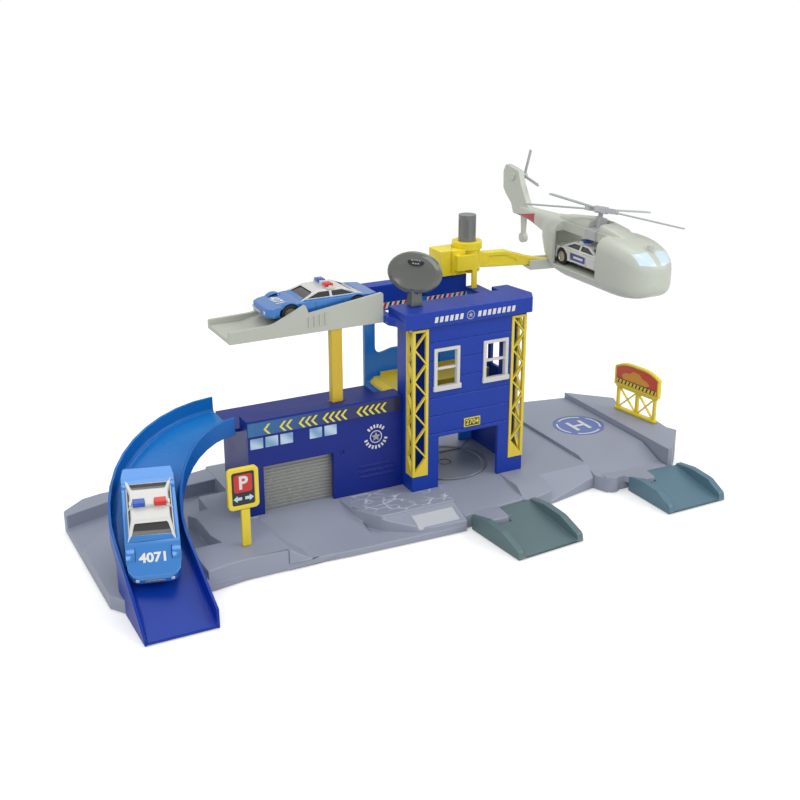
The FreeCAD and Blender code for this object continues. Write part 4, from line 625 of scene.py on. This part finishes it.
truss_foot = 23.8
rail = 1.7
bay_pitch = 19.911
bay_middle = 11.456
bay_half = 8.656
lattice_top = 91.1
for truss, corner, side in (("left_corner_truss", 0, 1), ("right_corner_truss", 78, -1)):
    sideways = Matrix(((0, 0, side, 0), (1, 0, 0, 0), (0, 1, 0, 0), (0, 0, 0, 1)))
    cutters = []
    for wall, outward, reach, depth in (
        (front_at(1.65) @ moved(corner, truss_foot), side, 10.4, 2.4),
        (moved(corner - 2.3 * side, 0, truss_foot) @ sideways, 1, 8.6, 4.2),
    ):
        for bay in range(1, 5):
            middle = bay_middle + bay_pitch * bay
            top = lattice_top if bay == 4 else middle + bay_half
            cutter = cut_label((
                (outward * rail, middle - bay_half),
                (outward * (reach - rail), middle),
                (outward * rail, top),
            ), depth)
            cutter.matrix_world = wall
            cutters.append(cutter)
    triangles = joined(cutters)
    bpy.ops.object.transform_apply(location=True, rotation=True, scale=True)
    bpy.ops.object.mode_set(mode="EDIT")
    bpy.ops.mesh.select_all(action="SELECT")
    bpy.ops.mesh.normals_make_consistent(inside=False)
    bpy.ops.object.mode_set(mode="OBJECT")
    eased(truss, 0.15 * mm, truss_yellow, holes=triangles, tight=True)


# The tower's roof: one blue moulding with a cornice, the hatch of the lift and a parapet.
# The cornice has a row of white printed bars round a star, and the hatch a striped label.
eased("tower_roof", 0.45 * mm, tower_blue)
cornice_face = -3
cornice_middle = 122.2
dash_pitch = 3.35
dash = cut_label(((-1.35, -1.7), (0.75, -1.7), (1.35, 1.7), (-0.75, 1.7)), film)
dashes = [stamp(dash, low + dash_pitch * index, cornice_middle)
          for low, count in ((14, 6), (43, 8)) for index in range(count)]
applied("cornice_bars", dashes, front_at(cornice_face), "playset", ink_white, spare=(dash,))
star_middle = 36.9
crest = front_at(cornice_face) @ moved(star_middle, cornice_middle)
applied("cornice_star", [hoop(2.7, 2.2, film), star(1.7, 0.75)], crest, "playset", badge_silver)
hatch_face = 56.17
hatch_middle = 115.9
stripe_pitch = 3.55
slant = cut_label(((-1.7, -1.9), (0.1, -1.9), (1.7, 1.9), (-0.1, 1.9)), 0.04)
for name, low, count in (("left", 8.0, 6), ("right", 39.6, 8)):
    long = stripe_pitch * count + 0.4
    ground = card(long, 3.9, 0.1, 0.05)
    applied(f"hatch_label_{name}", [stamp(ground, low + long / 2, hatch_middle)],
            front_at(hatch_face), "playset", ink_white, spare=(ground,))
    for colour, finish in enumerate((ink_red, ink_black)):
        stripes = [stamp(slant, low + 2 + stripe_pitch * index, hatch_middle)
                   for index in range(colour, count, 2)]
        applied(f"hatch_stripes_{name}_{colour}", stripes, front_at(hatch_face - 0.06),
                "playset", finish)
bpy.data.objects.remove(slant)


# The lift: a see-through blue shaft panel behind the tower and the yellow tray that climbs
# it. The plastic is coloured right through, and its edges are painted paler, partly as rubbed
# wear and partly as a painted highlight.
def see_through(name, colour, share, roughness=0.1, coat=0.3):
    """A clear plastic, coloured in the mass."""
    made = moulded(name, colour, roughness, 0.04, relief=0.05, wear_and_highlight=0.12, coat=coat)
    tuned(made, "Transmission Weight", share)
    return made


shaft_blue = see_through("shaft_blue", (0.03, 0.25, 0.75), 0.45)
eased("lift_shaft", 0.3 * mm, shaft_blue)
lift_yellow = moulded("lift_yellow", (0.78, 0.6, 0.04), 0.34)
eased("lift_tray", 0.35 * mm, lift_yellow)


# The launch ramp: a beige moulded channel that hooks on the roof, and the square yellow
# column, moulded too, that stands on the garage and carries it.
ramp_beige = moulded("ramp_beige", (0.46, 0.48, 0.42), 0.4)
eased("launch_ramp", 0.35 * mm, ramp_beige, tight=True)
column_yellow = moulded("column_yellow", (0.62, 0.43, 0.03), 0.34)
eased("ramp_column", 0.4 * mm, column_yellow)


# The slide: a curved channel moulded in clear blue plastic, which stands on the left tray. Its
# colour is painted paler towards its high end, as light coming through it, and darker at its
# foot, and its walls carry painted shade, the inner wall more than the outer.
# Each wall is a copy of the floor's blue with painted shade, the inner wall darkest.
for wall, painted_shade in (("slide_floor", 0.0), ("slide_outer_wall", 0.12), ("slide_inner_wall", 0.3)):
    slide_blue = see_through(wall + "_blue", (0.02, 0.13, 0.55), 0.06, 0.3, 0.0)
    tuned(slide_blue, "Specular IOR Level", 0.3)
    foot = (0.002, 0.036 - 0.03 * painted_shade, 0.33)
    bend = (0.004, 0.115 * (1 - painted_shade), 0.45 - 0.2 * painted_shade)
    mouth = (0.008, 0.21 * (1 - painted_shade), 0.6 - 0.3 * painted_shade)
    ramped(slide_blue, "Z", 0, 75, ((0, foot), (0.24, foot), (0.45, bend), (1, mouth)))
    eased(wall, 0.35 * mm, slide_blue)


# The crane: a yellow arm with a cranked collar on a drum, turning on a fluted grey post that
# stands in a yellow housing. All three are glossy moulded plastic.
crane_yellow = moulded("crane_yellow", (0.87, 0.7, 0.02), 0.28)
for piece in ("crane_mount", "crane_arm"):
    eased(piece, 0.45 * mm, crane_yellow)
post_grey = moulded("post_grey", (0.19, 0.2, 0.195), 0.26)
eased("crane_post", 0.4 * mm, post_grey, tight=True)


# The helicopter: two beige mouldings with a drop-in floor, pale reflecting panes let into
# the nose, and grey rotors. A red and black flash is printed under the boom.
hull_colour = (0.53, 0.56, 0.49)
hull_beige = moulded("hull_beige", hull_colour, 0.34, 0.07)
for piece in ("helicopter_hull", "helicopter_floor", "tail_wheel"):
    eased(piece, 0.4 * mm, hull_beige, tight=True)
boom_y = 84
boom_underside = 156.2
boom_fall = 0.22
flash_start = 78
black_start = 101
tail_beige = moulded("tail_beige", hull_colour, 0.34, 0.07)
tree = tail_beige.node_tree
tail_spot = tree.nodes.new("ShaderNodeTexCoord")
tail_axes = tree.nodes.new("ShaderNodeSeparateXYZ")
tree.links.new(tail_spot.outputs["Object"], tail_axes.inputs[0])
flash_top = wire(tree, "ShaderNodeMath", "MULTIPLY_ADD", i1=-boom_fall,
                 i2=(boom_underside + boom_fall * boom_y) * mm)
tree.links.new(tail_axes.outputs["Y"], flash_top.inputs[0])
under = wire(tree, "ShaderNodeMath", "LESS_THAN")
tree.links.new(tail_axes.outputs["Z"], under.inputs[0])
tree.links.new(flash_top.outputs[0], under.inputs[1])
behind = wire(tree, "ShaderNodeMath", "GREATER_THAN", i1=flash_start * mm)
tree.links.new(tail_axes.outputs["Y"], behind.inputs[0])
flash = wire(tree, "ShaderNodeMath", "MULTIPLY")
tree.links.new(under.outputs[0], flash.inputs[0])
tree.links.new(behind.outputs[0], flash.inputs[1])
tip = wire(tree, "ShaderNodeMath", "GREATER_THAN", i1=black_start * mm)
tree.links.new(tail_axes.outputs["Y"], tip.inputs[0])
red_black = mixed(tree, (0.45, 0.035, 0.045), (0.02, 0.02, 0.03))
tree.links.new(tip.outputs[0], red_black.inputs["Factor"])
flashed = mixed(tree, hull_colour)
tree.links.new(flash.outputs[0], flashed.inputs["Factor"])
tree.links.new(red_black.outputs["Result"], flashed.inputs["B"])
tree.links.new(flashed.outputs["Result"], grain_of(tail_beige).inputs["Colour"])
eased("helicopter_tail", 0.35 * mm, tail_beige, tight=True)


def polished(name, colour, roughness, mottle, coat):
    """A smooth, glossy plastic without wear or painted edge highlight."""
    return moulded(name, colour, roughness, mottle, relief=0.02, wear_and_highlight=0.0, coat=coat)


windscreen_pale = polished("windscreen_pale", (0.62, 0.75, 0.82), 0.08, 0.5, 0.6)
eased("windscreen", 0.15 * mm, windscreen_pale)
rotor_grey = moulded("rotor_grey", (0.46, 0.48, 0.49), 0.32)
for piece in ("rotor_mast", "main_rotor", "tail_rotor"):
    eased(piece, 0.2 * mm, rotor_grey)


# The dish on the roof: a smoked grey oval, moulded in one with the stalk that turns in the
# cornice, and a small dark label near its upper rim.
# Its edges are painted strongly paler: a painted highlight on the rim, along with rubbed wear.
dish_grey = moulded("dish_grey", (0.125, 0.135, 0.12), 0.16, 0.16, relief=0.05, wear_and_highlight=0.5,
                    coat=0.5)
eased("dish", 0.25 * mm, dish_grey)
dish_heading = -50.4
dish_tilt = -12
dish_face = (moved(8.5, 14, 147.2) @ turned(dish_heading) @ turned(dish_tilt, "X")
             @ front_at(-1.35) @ moved(0.8, 6.2) @ turned(-9, "X"))
label_depth = 0.15
oval = disc(4.2, label_depth)
oval.scale = (1.25, 0.62, 1)
applied("dish_label", [oval], dish_face, "dish", ink_black)
label_mark = card(1.1, 0.8, 0.1, 0.06)
upper_marks = ((-2.6, 0.9), (-1.0, 1.1), (0.6, 1.1), (2.2, 0.9))
lower_marks = ((-1.6, -0.9), (0, -1.0), (1.6, -0.9))
marks = [stamp(label_mark, x, y, 0, label_depth) for x, y in upper_marks + lower_marks]
applied("dish_label_marks", marks, dish_face, "dish", badge_silver, spare=(label_mark,))


# The exit ramps: two teal mouldings in satin plastic, a shade apart. They hook over the tabs
# of the trays and lift off.
ramp_teal = moulded("ramp_teal", (0.105, 0.17, 0.185), 0.4)
side_teal = moulded("side_teal", (0.1, 0.19, 0.25), 0.4)
for piece, finish in (("exit_ramp_front", ramp_teal), ("exit_ramp_side", side_teal)):
    eased(piece, 0.5 * mm, finish)


# The signs: yellow moulded frames pushed into the trays, with printed labels. The parking
# sign has a white P on red over two arrows, and the board a plain field over stripes.
sign_yellow = moulded("sign_yellow", (0.8, 0.62, 0.04), 0.34)
for piece in ("parking_sign", "billboard_frame"):
    eased(piece, 0.3 * mm, sign_yellow)
sign_film = 0.1
field_middle = 3.1
arrows_middle = -5.9
sign_middle = (-113.75, 48.25)
sign_face = front_at(-17.6) @ moved(*sign_middle)
over_ground = sign_face @ moved(0, 0, sign_film)
applied("parking_ground", [card(13, 19.6, 1.2, sign_film)], sign_face, "playset", ink_black)
field = card(10.6, 10.6, 1.5, sign_film)
applied("parking_field", [stamp(field, 0, field_middle)], over_ground, "playset", ink_red,
        spare=(field,))
letter = sign("P", 7.4, 0.045, sign_film)
applied("parking_letter", [stamp(letter, 0, field_middle, 0, sign_film)], over_ground,
        "playset", ink_white, spare=(letter,))
arrow = cut_label(((-2.6, 0), (-0.2, 2.0), (-0.2, 0.9), (2.4, 0.9), (2.4, -0.9), (-0.2, -0.9),
                   (-0.2, -2.0)), sign_film)
pale_blue = printed("pale_blue", (0.5, 0.68, 0.78))
applied("parking_arrows",
        [stamp(arrow, -3.3, arrows_middle), stamp(arrow, 3.3, arrows_middle, 180)],
        over_ground, "playset", pale_blue, spare=(arrow,))

panel_red = printed("panel_red", (0.62, 0.07, 0.035))
eased("billboard_panel", 0.05 * mm, panel_red)
board_heading = -81.7
board = moved(189.5, 29) @ turned(board_heading) @ front_at(-1.3)
panel_orange = printed("panel_orange", (0.72, 0.33, 0.03))
hill = cut_label(((-12, 43.6), (9, 43.6), (12.5, 45.4), (9.5, 47.4), (5, 48.4), (2.4, 50.9),
                  (-3, 51.2), (-6.2, 48.9), (-11, 48.2), (-14, 46)), 0.06)
applied("board_shape", [hill], board, "playset", panel_orange)
board_print = 0.07
band_middle = 41.4
rim = cut_label(((-17.4, 43), (17.6, 43), (17.6, 43.4), (-17.4, 43.4)), board_print)
slant = cut_label(((-1.1, -1.3), (0.1, -1.3), (1.1, 1.3), (-0.1, 1.3)), board_print)
stripes = [stamp(slant, -16.4 + 3.3 * index, band_middle) for index in range(11)]
applied("board_stripes", stripes + [stamp(rim, 0, 0)], board, "playset", ink_black,
        spare=(slant, rim))
band = card(37, 2.9, 0.2, 0.05)
applied("board_band", [stamp(band, 0, band_middle)], board, "playset", ink_yellow,
        spare=(band,))


# The cars: die-cast bodies with thick white pillars, smoked windows, black chassis plates,
# rubber-black tyres on silver rims, and a light bar with a blue and a red lens.
paints = {
    "ramp_car": (0.03, 0.19, 0.56),
    "slide_car": (0.03, 0.2, 0.56),
    "helicopter_car": (0.6, 0.61, 0.57),
}
car_frames = {
    "ramp_car": moved(-45.2, 37, 124.7),
    "slide_car": moved(-165.8, -17, 34.8) @ turned(75.6) @ turned(-29.6, "Y"),
    "helicopter_car": moved(138, 11.5, 134.3) @ turned(90),
}
belt = 11.6
roof_top = 15.6
flank = 14.2
nose_x = -35.5
tail_x = 35.3
axle_x = 21
wheel_radius = 5.25
metal_crease = math.radians(35)
tyre_black = moulded("tyre_black", (0.014, 0.014, 0.015), 0.62, 0.2, 0.6, 1500.0, 0.1)
rim_silver = moulded("rim_silver", (0.45, 0.43, 0.4), 0.25, 0.1, 0.1)
tuned(rim_silver, "Metallic", 0.7)
chassis_black = moulded("chassis_black", (0.016, 0.016, 0.018), 0.5)
window_smoke = polished("window_smoke", (0.035, 0.035, 0.035), 0.07, 0.3, 0.5)
roof_white = polished("roof_white", (0.64, 0.64, 0.62), 0.26, 0.03, 0.3)
lamp_glass = polished("lamp_glass", (0.7, 0.72, 0.74), 0.08, 0.1, 0.8)
door_blue = printed("door_blue", (0.04, 0.05, 0.3))
tail_red = see_through("tail_red", (0.5, 0.01, 0.01), 0.2)
lens_red = see_through("lens_red", (0.75, 0.02, 0.02), 0.25)
lens_blue = see_through("lens_blue", (0.02, 0.1, 0.55), 0.25)


def softened(width, segments=2):
    """All edges of the active object are rounded by so many mm."""
    bpy.ops.object.mode_set(mode="EDIT")
    bpy.ops.mesh.select_all(action="SELECT")
    bpy.ops.mesh.bevel(offset=width * mm, segments=segments)
    bpy.ops.object.mode_set(mode="OBJECT")


def unpick():
    """No face of the active object stays selected."""
    bpy.ops.object.mode_set(mode="EDIT")
    bpy.ops.mesh.select_all(action="DESELECT")
    bpy.ops.object.mode_set(mode="OBJECT")


tread = 4.4
rim_radius = 3.5
spoke_x = 1.8
spoke_level = 1.75
hub_radius = 0.9
hub_level = 1.55
start_alone()
bpy.ops.mesh.primitive_cylinder_add(vertices=36, radius=wheel_radius * mm, depth=tread * mm)
wheel = bpy.context.object
softened(0.7, 3)
for inset, push in ((1.25, 0.0), (0.3, -0.35), (0.25, -0.9)):
    unpick()
    outer_face = max(wheel.data.polygons, key=lambda face: face.center.z * 100 + face.area)
    outer_face.select = True
    bpy.ops.object.mode_set(mode="EDIT")
    bpy.ops.mesh.inset(thickness=inset * mm)
    bpy.ops.transform.translate(value=(0, 0, push * mm))
    bpy.ops.object.mode_set(mode="OBJECT")
wheel.data.materials.append(tyre_black)
wheel.data.materials.append(rim_silver)
for face in wheel.data.polygons:
    on_rim = math.hypot(face.center.x, face.center.y) < rim_radius * mm and face.center.z > 0
    face.material_index = 1 if on_rim else 0
wheel_parts = [wheel]
for index in range(5):
    start_alone()
    bpy.ops.mesh.primitive_cube_add(size=mm, location=(spoke_x * mm, 0, spoke_level * mm))
    spoke = bpy.context.object
    spoke.scale = (3.1, 0.85, 0.5)
    softened(0.12)
    spoke.matrix_world = turned(72 * index) @ spoke.matrix_world
    spoke.data.materials.append(rim_silver)
    wheel_parts.append(spoke)
start_alone()
bpy.ops.mesh.primitive_uv_sphere_add(segments=16, ring_count=8, radius=hub_radius * mm,
                                     location=(0, 0, hub_level * mm))
hub = bpy.context.object
hub.scale = (1, 1, 0.6)
hub.data.materials.append(rim_silver)
wheel = joined(wheel_parts + [hub])
bpy.ops.object.shade_smooth_by_angle(angle=metal_crease)


def wing_over(x, y):
    """The rolled wing over a wheel: the top of a tube, which gets a thickness."""
    wing_radius = 6.5
    wing_width = 4.7
    wing_foot = wheel_radius + 3.4
    wing_crease = math.radians(40)
    start_alone()
    bpy.ops.mesh.primitive_cylinder_add(
        vertices=48, radius=wing_radius * mm, depth=wing_width * mm, end_fill_type="NOTHING",
        location=(x * mm, y * mm, wheel_radius * mm), rotation=(math.radians(90), 0, 0))
    wing = bpy.context.object
    bpy.ops.object.transform_apply(location=True, rotation=True, scale=True)
    unpick()
    for face in wing.data.polygons:
        face.select = face.center.z < wing_foot * mm
    bpy.ops.object.mode_set(mode="EDIT")
    bpy.ops.mesh.delete(type="FACE")
    bpy.ops.object.mode_set(mode="OBJECT")
    sheet = wing.modifiers.new("sheet", "SOLIDIFY")
    sheet.thickness = 0.8 * mm
    bpy.ops.object.modifier_apply(modifier=sheet.name)
    rolled = wing.modifiers.new("rolled_edge", "BEVEL")
    rolled.width = 0.25 * mm
    rolled.segments = 2
    rolled.angle_limit = wing_crease
    bpy.ops.object.modifier_apply(modifier=rolled.name)
    bpy.ops.object.shade_smooth_by_angle(angle=wing_crease)
    return wing


def wheels_on(axle, place):
    """Two wheels pressed on their shaft, in place of the plain axle."""
    shaft_radius = 0.8
    shaft_length = 20
    wheel_middle = 11.9
    start_alone()
    bpy.ops.mesh.primitive_cylinder_add(vertices=16, radius=shaft_radius * mm,
                                        depth=shaft_length * mm)
    shaft = bpy.context.object
    shaft.data.materials.append(tyre_black)
    shaft.data.materials.append(rim_silver)
    for face in shaft.data.polygons:
        face.material_index = 1
    wheels = []
    for turn in (0, 180):
        copy = twin(wheel)
        copy.matrix_world = turned(turn, "X") @ moved(0, 0, wheel_middle)
        wheels.append(copy)
    pair = joined(wheels + [shaft])
    pair.name = axle + "_wheels"
    pair.matrix_world = place @ turned(-90, "X") @ pair.matrix_world
    take_up(pair)
    bpy.ops.object.transform_apply(location=True, rotation=True, scale=True)
    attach(pair, body_of_node[axle])
    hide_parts(axle)


def on_car(name, labels, car, place, finish, spare=()):
    """Labels laid in a frame of the car's own."""
    applied(name, labels, car_frames[car] @ place, car, finish, spare=spare)


def flank_at(side):
    """The upright side of a car: seen from outside, x runs to the right."""
    upright = Matrix(((side * -1, 0, 0, 0), (0, 0, side, 0), (0, 1, 0, 0), (0, 0, 0, 1)))
    return moved(0, side * flank) @ upright


wing_middle = 11.75
bar_x = 5.8
for car, paint in paints.items():
    gloss = moulded(car + "_paint", paint, 0.2, 0.05, relief=0.04, wear_and_highlight=0.25, coat=0.8)
    if car != "helicopter_car":
        tuned(gloss, "Metallic", 0.25)
    shell = eased(car + "_body", 0.45 * mm, gloss, sharp=24.0, segments=3)
    shell.data.materials.append(roof_white)
    inward = car_frames[car].inverted()
    for face in shell.data.polygons:
        if (inward @ face.center).z > belt * mm:
            face.material_index = 1
    wings = [wing_over(x, y) for x in (-axle_x, axle_x) for y in (-wing_middle, wing_middle)]
    applied(car + "_wings", wings, car_frames[car], car, gloss)
    eased(car + "_glazing", 0.2 * mm, window_smoke)
    eased(car + "_chassis", 0.3 * mm, chassis_black)
    for which, x in (("front_axle", -axle_x), ("rear_axle", axle_x)):
        wheels_on(f"{car}_{which}", car_frames[car] @ moved(x, 0, wheel_radius))

    bar_frame = car_frames[car] @ moved(bar_x, 0, roof_top)
    for name, y, width, long, low, high, finish in (
        ("bar", 0, 4.4, 21.2, 0.0, 0.9, roof_white),
        ("middle", 0, 4.0, 4.6, 0.8, 2.3, roof_white),
        ("lens_right", -5.6, 4.6, 6.2, 0.7, 2.7, lens_red),
        ("lens_left", 5.6, 4.6, 6.2, 0.7, 2.7, lens_blue),
        ("end_right", -9.9, 2.4, 1.4, 0.7, 1.9, roof_white),
        ("end_left", 9.9, 2.4, 1.4, 0.7, 1.9, roof_white),
    ):
        start_alone()
        bpy.ops.mesh.primitive_cube_add(size=mm, location=(0, y * mm, (low + high) / 2 * mm))
        block = bpy.context.object
        block.scale = (width, long, high - low)
        bpy.ops.object.transform_apply(location=False, rotation=False, scale=True)
        softened(0.25)
        block.name = f"{car}_light_{name}"
        block.matrix_world = bar_frame @ block.matrix_world
        bpy.ops.object.shade_smooth_by_angle(angle=metal_crease)
        settle(block, car, finish)
    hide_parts(car + "_light_bar")

    nose = Matrix(((0, 0, -1, nose_x * mm), (-1, 0, 0, 0), (0, 1, 0, 0), (0, 0, 0, 1)))
    tail = Matrix(((0, 0, 1, tail_x * mm), (1, 0, 0, 0), (0, 1, 0, 0), (0, 0, 0, 1)))
    grille = card(11, 1.6, 0.5, 0.15)
    on_car(car + "_grille", [stamp(grille, 0, 6.0)], car, nose, rim_silver, (grille,))
    lamp = card(2.6, 1.9, 0.7, 0.5)
    lamps = [stamp(lamp, side * 8.6, 6.2) for side in (-1, 1)]
    on_car(car + "_headlamps", lamps, car, nose @ moved(0, 0, -0.9), lamp_glass, (lamp,))
    lamp = card(5.4, 1.7, 0.4, 0.3)
    lamps = [stamp(lamp, side * 7.4, 7.4) for side in (-1, 1)]
    on_car(car + "_tail_lamps", lamps, car, tail, tail_red, (lamp,))
    for side, hand in ((-1, "right"), (1, "left")):
        line = card(0.22, 6.4, 0.02, 0.02)
        sill = card(24, 0.22, 0.02, 0.02)
        lines = [stamp(line, side * x, 7.3) for x in (-11.5, 5.4)] + [stamp(sill, side * 3, 4.2)]
        on_car(f"{car}_door_lines_{hand}", lines, car, flank_at(side), chassis_black,
               (line, sill))
    if car == "helicopter_car":
        door_middle = (-3.4, 7.6)
        door_film = 0.06
        for side, hand in ((-1, "right"), (1, "left")):
            x = side * door_middle[0]
            door = card(15.5, 4.4, 0.2, door_film)
            on_car(f"{car}_door_panel_{hand}", [stamp(door, x, door_middle[1])], car,
                   flank_at(side), door_blue, (door,))
            bar = cut_label(((-4.6, -0.7), (5.2, -0.7), (5.8, 0.7), (-4.0, 0.7)), 0.05)
            on_car(f"{car}_door_bar_{hand}", [stamp(bar, x, door_middle[1], 0, door_film)], car,
                   flank_at(side), ink_white, (bar,))
    else:
        bonnet_foot = (33.9, 8.8)
        bonnet_top = (14, 11.0)
        slope = math.atan2(bonnet_top[1] - bonnet_foot[1], bonnet_foot[0] - bonnet_top[0])
        number_x = -24
        number_level = 9.97
        bonnet = (moved(number_x, 0, number_level) @ Matrix.Rotation(-slope, 4, "Y")
                  @ turned(-90))
        on_car(car + "_number", [sign("4071", 5.2, 0.05, 0.06)], car, bonnet, ink_white)
bpy.data.objects.remove(wheel)


# The studio: a pale floor that keeps the object's shadow and turns plain white further off,
# a white surround and three broad, soft lamps.
start_alone()
bpy.ops.mesh.primitive_plane_add(size=8, location=(0, 0, -0.4 * mm))
floor = bpy.context.object
floor.name = "studio_floor"
paper = bpy.data.materials.new("studio_paper")
paper.use_nodes = True
tuned(paper, "Roughness", 0.9)
tuned(paper, "Specular IOR Level", 0.1)
tuned(paper, "Emission Color", (1, 1, 1, 1))
tree = paper.node_tree
sheet = tree.nodes["Principled BSDF"]
fade_start = 0.3
fade_end = 0.62
floor_spot = tree.nodes.new("ShaderNodeTexCoord")
away = wire(tree, "ShaderNodeVectorMath", "LENGTH")
far = wire(tree, "ShaderNodeMapRange", i1=fade_start, i2=fade_end)
tree.links.new(floor_spot.outputs["Object"], away.inputs[0])
tree.links.new(away.outputs["Value"], far.inputs[0])
eye = tree.nodes.new("ShaderNodeLightPath")
fading = wire(tree, "ShaderNodeMath", "MULTIPLY")
tree.links.new(far.outputs[0], fading.inputs[0])
tree.links.new(eye.outputs["Is Camera Ray"], fading.inputs[1])
paper_colour = mixed(tree, (0.82, 0.82, 0.82), (0, 0, 0))
tree.links.new(fading.outputs[0], paper_colour.inputs["Factor"])
tree.links.new(paper_colour.outputs["Result"], sheet.inputs["Base Color"])
glow = wire(tree, "ShaderNodeMath", "MULTIPLY_ADD", i1=0.7, i2=0.3)
tree.links.new(far.outputs[0], glow.inputs[0])
shown = wire(tree, "ShaderNodeMath", "MULTIPLY")
tree.links.new(glow.outputs[0], shown.inputs[0])
tree.links.new(eye.outputs["Is Camera Ray"], shown.inputs[1])
tree.links.new(shown.outputs[0], sheet.inputs["Emission Strength"])
floor.data.materials.append(paper)

world = bpy.data.worlds.new("studio_surround")
bpy.context.scene.world = world
world.use_nodes = True
tree = world.node_tree
sky = tree.nodes["Background"]
sky.inputs["Color"].default_value = (1, 1, 1, 1)
ray = tree.nodes.new("ShaderNodeLightPath")
direct = wire(tree, "ShaderNodeMath", "MAXIMUM")
tree.links.new(ray.outputs["Is Camera Ray"], direct.inputs[0])
tree.links.new(ray.outputs["Is Transmission Ray"], direct.inputs[1])
sky_level = wire(tree, "ShaderNodeMapRange", i3=0.58, i4=1.0)
tree.links.new(direct.outputs[0], sky_level.inputs[0])
tree.links.new(sky_level.outputs[0], sky.inputs["Strength"])

aim = Vector((0, 0, 0.05))
for name, spot, size, power in (
    ("lamp_left", (-1.2, -1.3, 1.6), 1.4, 15.5),
    ("lamp_right", (1.3, -1.0, 1.2), 1.2, 12),
    ("lamp_top", (0.1, 0.5, 1.8), 1.4, 11),
):
    light = bpy.data.lights.new(name, "AREA")
    light.energy = power
    light.size = size
    stand = bpy.data.objects.new(name, light)
    stand.location = spot
    stand.rotation_euler = (aim - Vector(spot)).to_track_quat("-Z", "Y").to_euler()
    bpy.context.scene.collection.objects.link(stand)

looking_down = 20.78
looking_right = 27.25
lens = bpy.data.cameras.new("camera")
lens.lens = 55.14
lens.sensor_width = 36
camera = bpy.data.objects.new("camera", lens)
camera.location = (-0.3161, -0.5975, 0.3306)
camera.rotation_euler = (math.radians(90 - looking_down), 0, math.radians(-looking_right))
bpy.context.scene.collection.objects.link(camera)
bpy.context.scene.camera = camera
bpy.context.scene.view_settings.view_transform = "Standard"
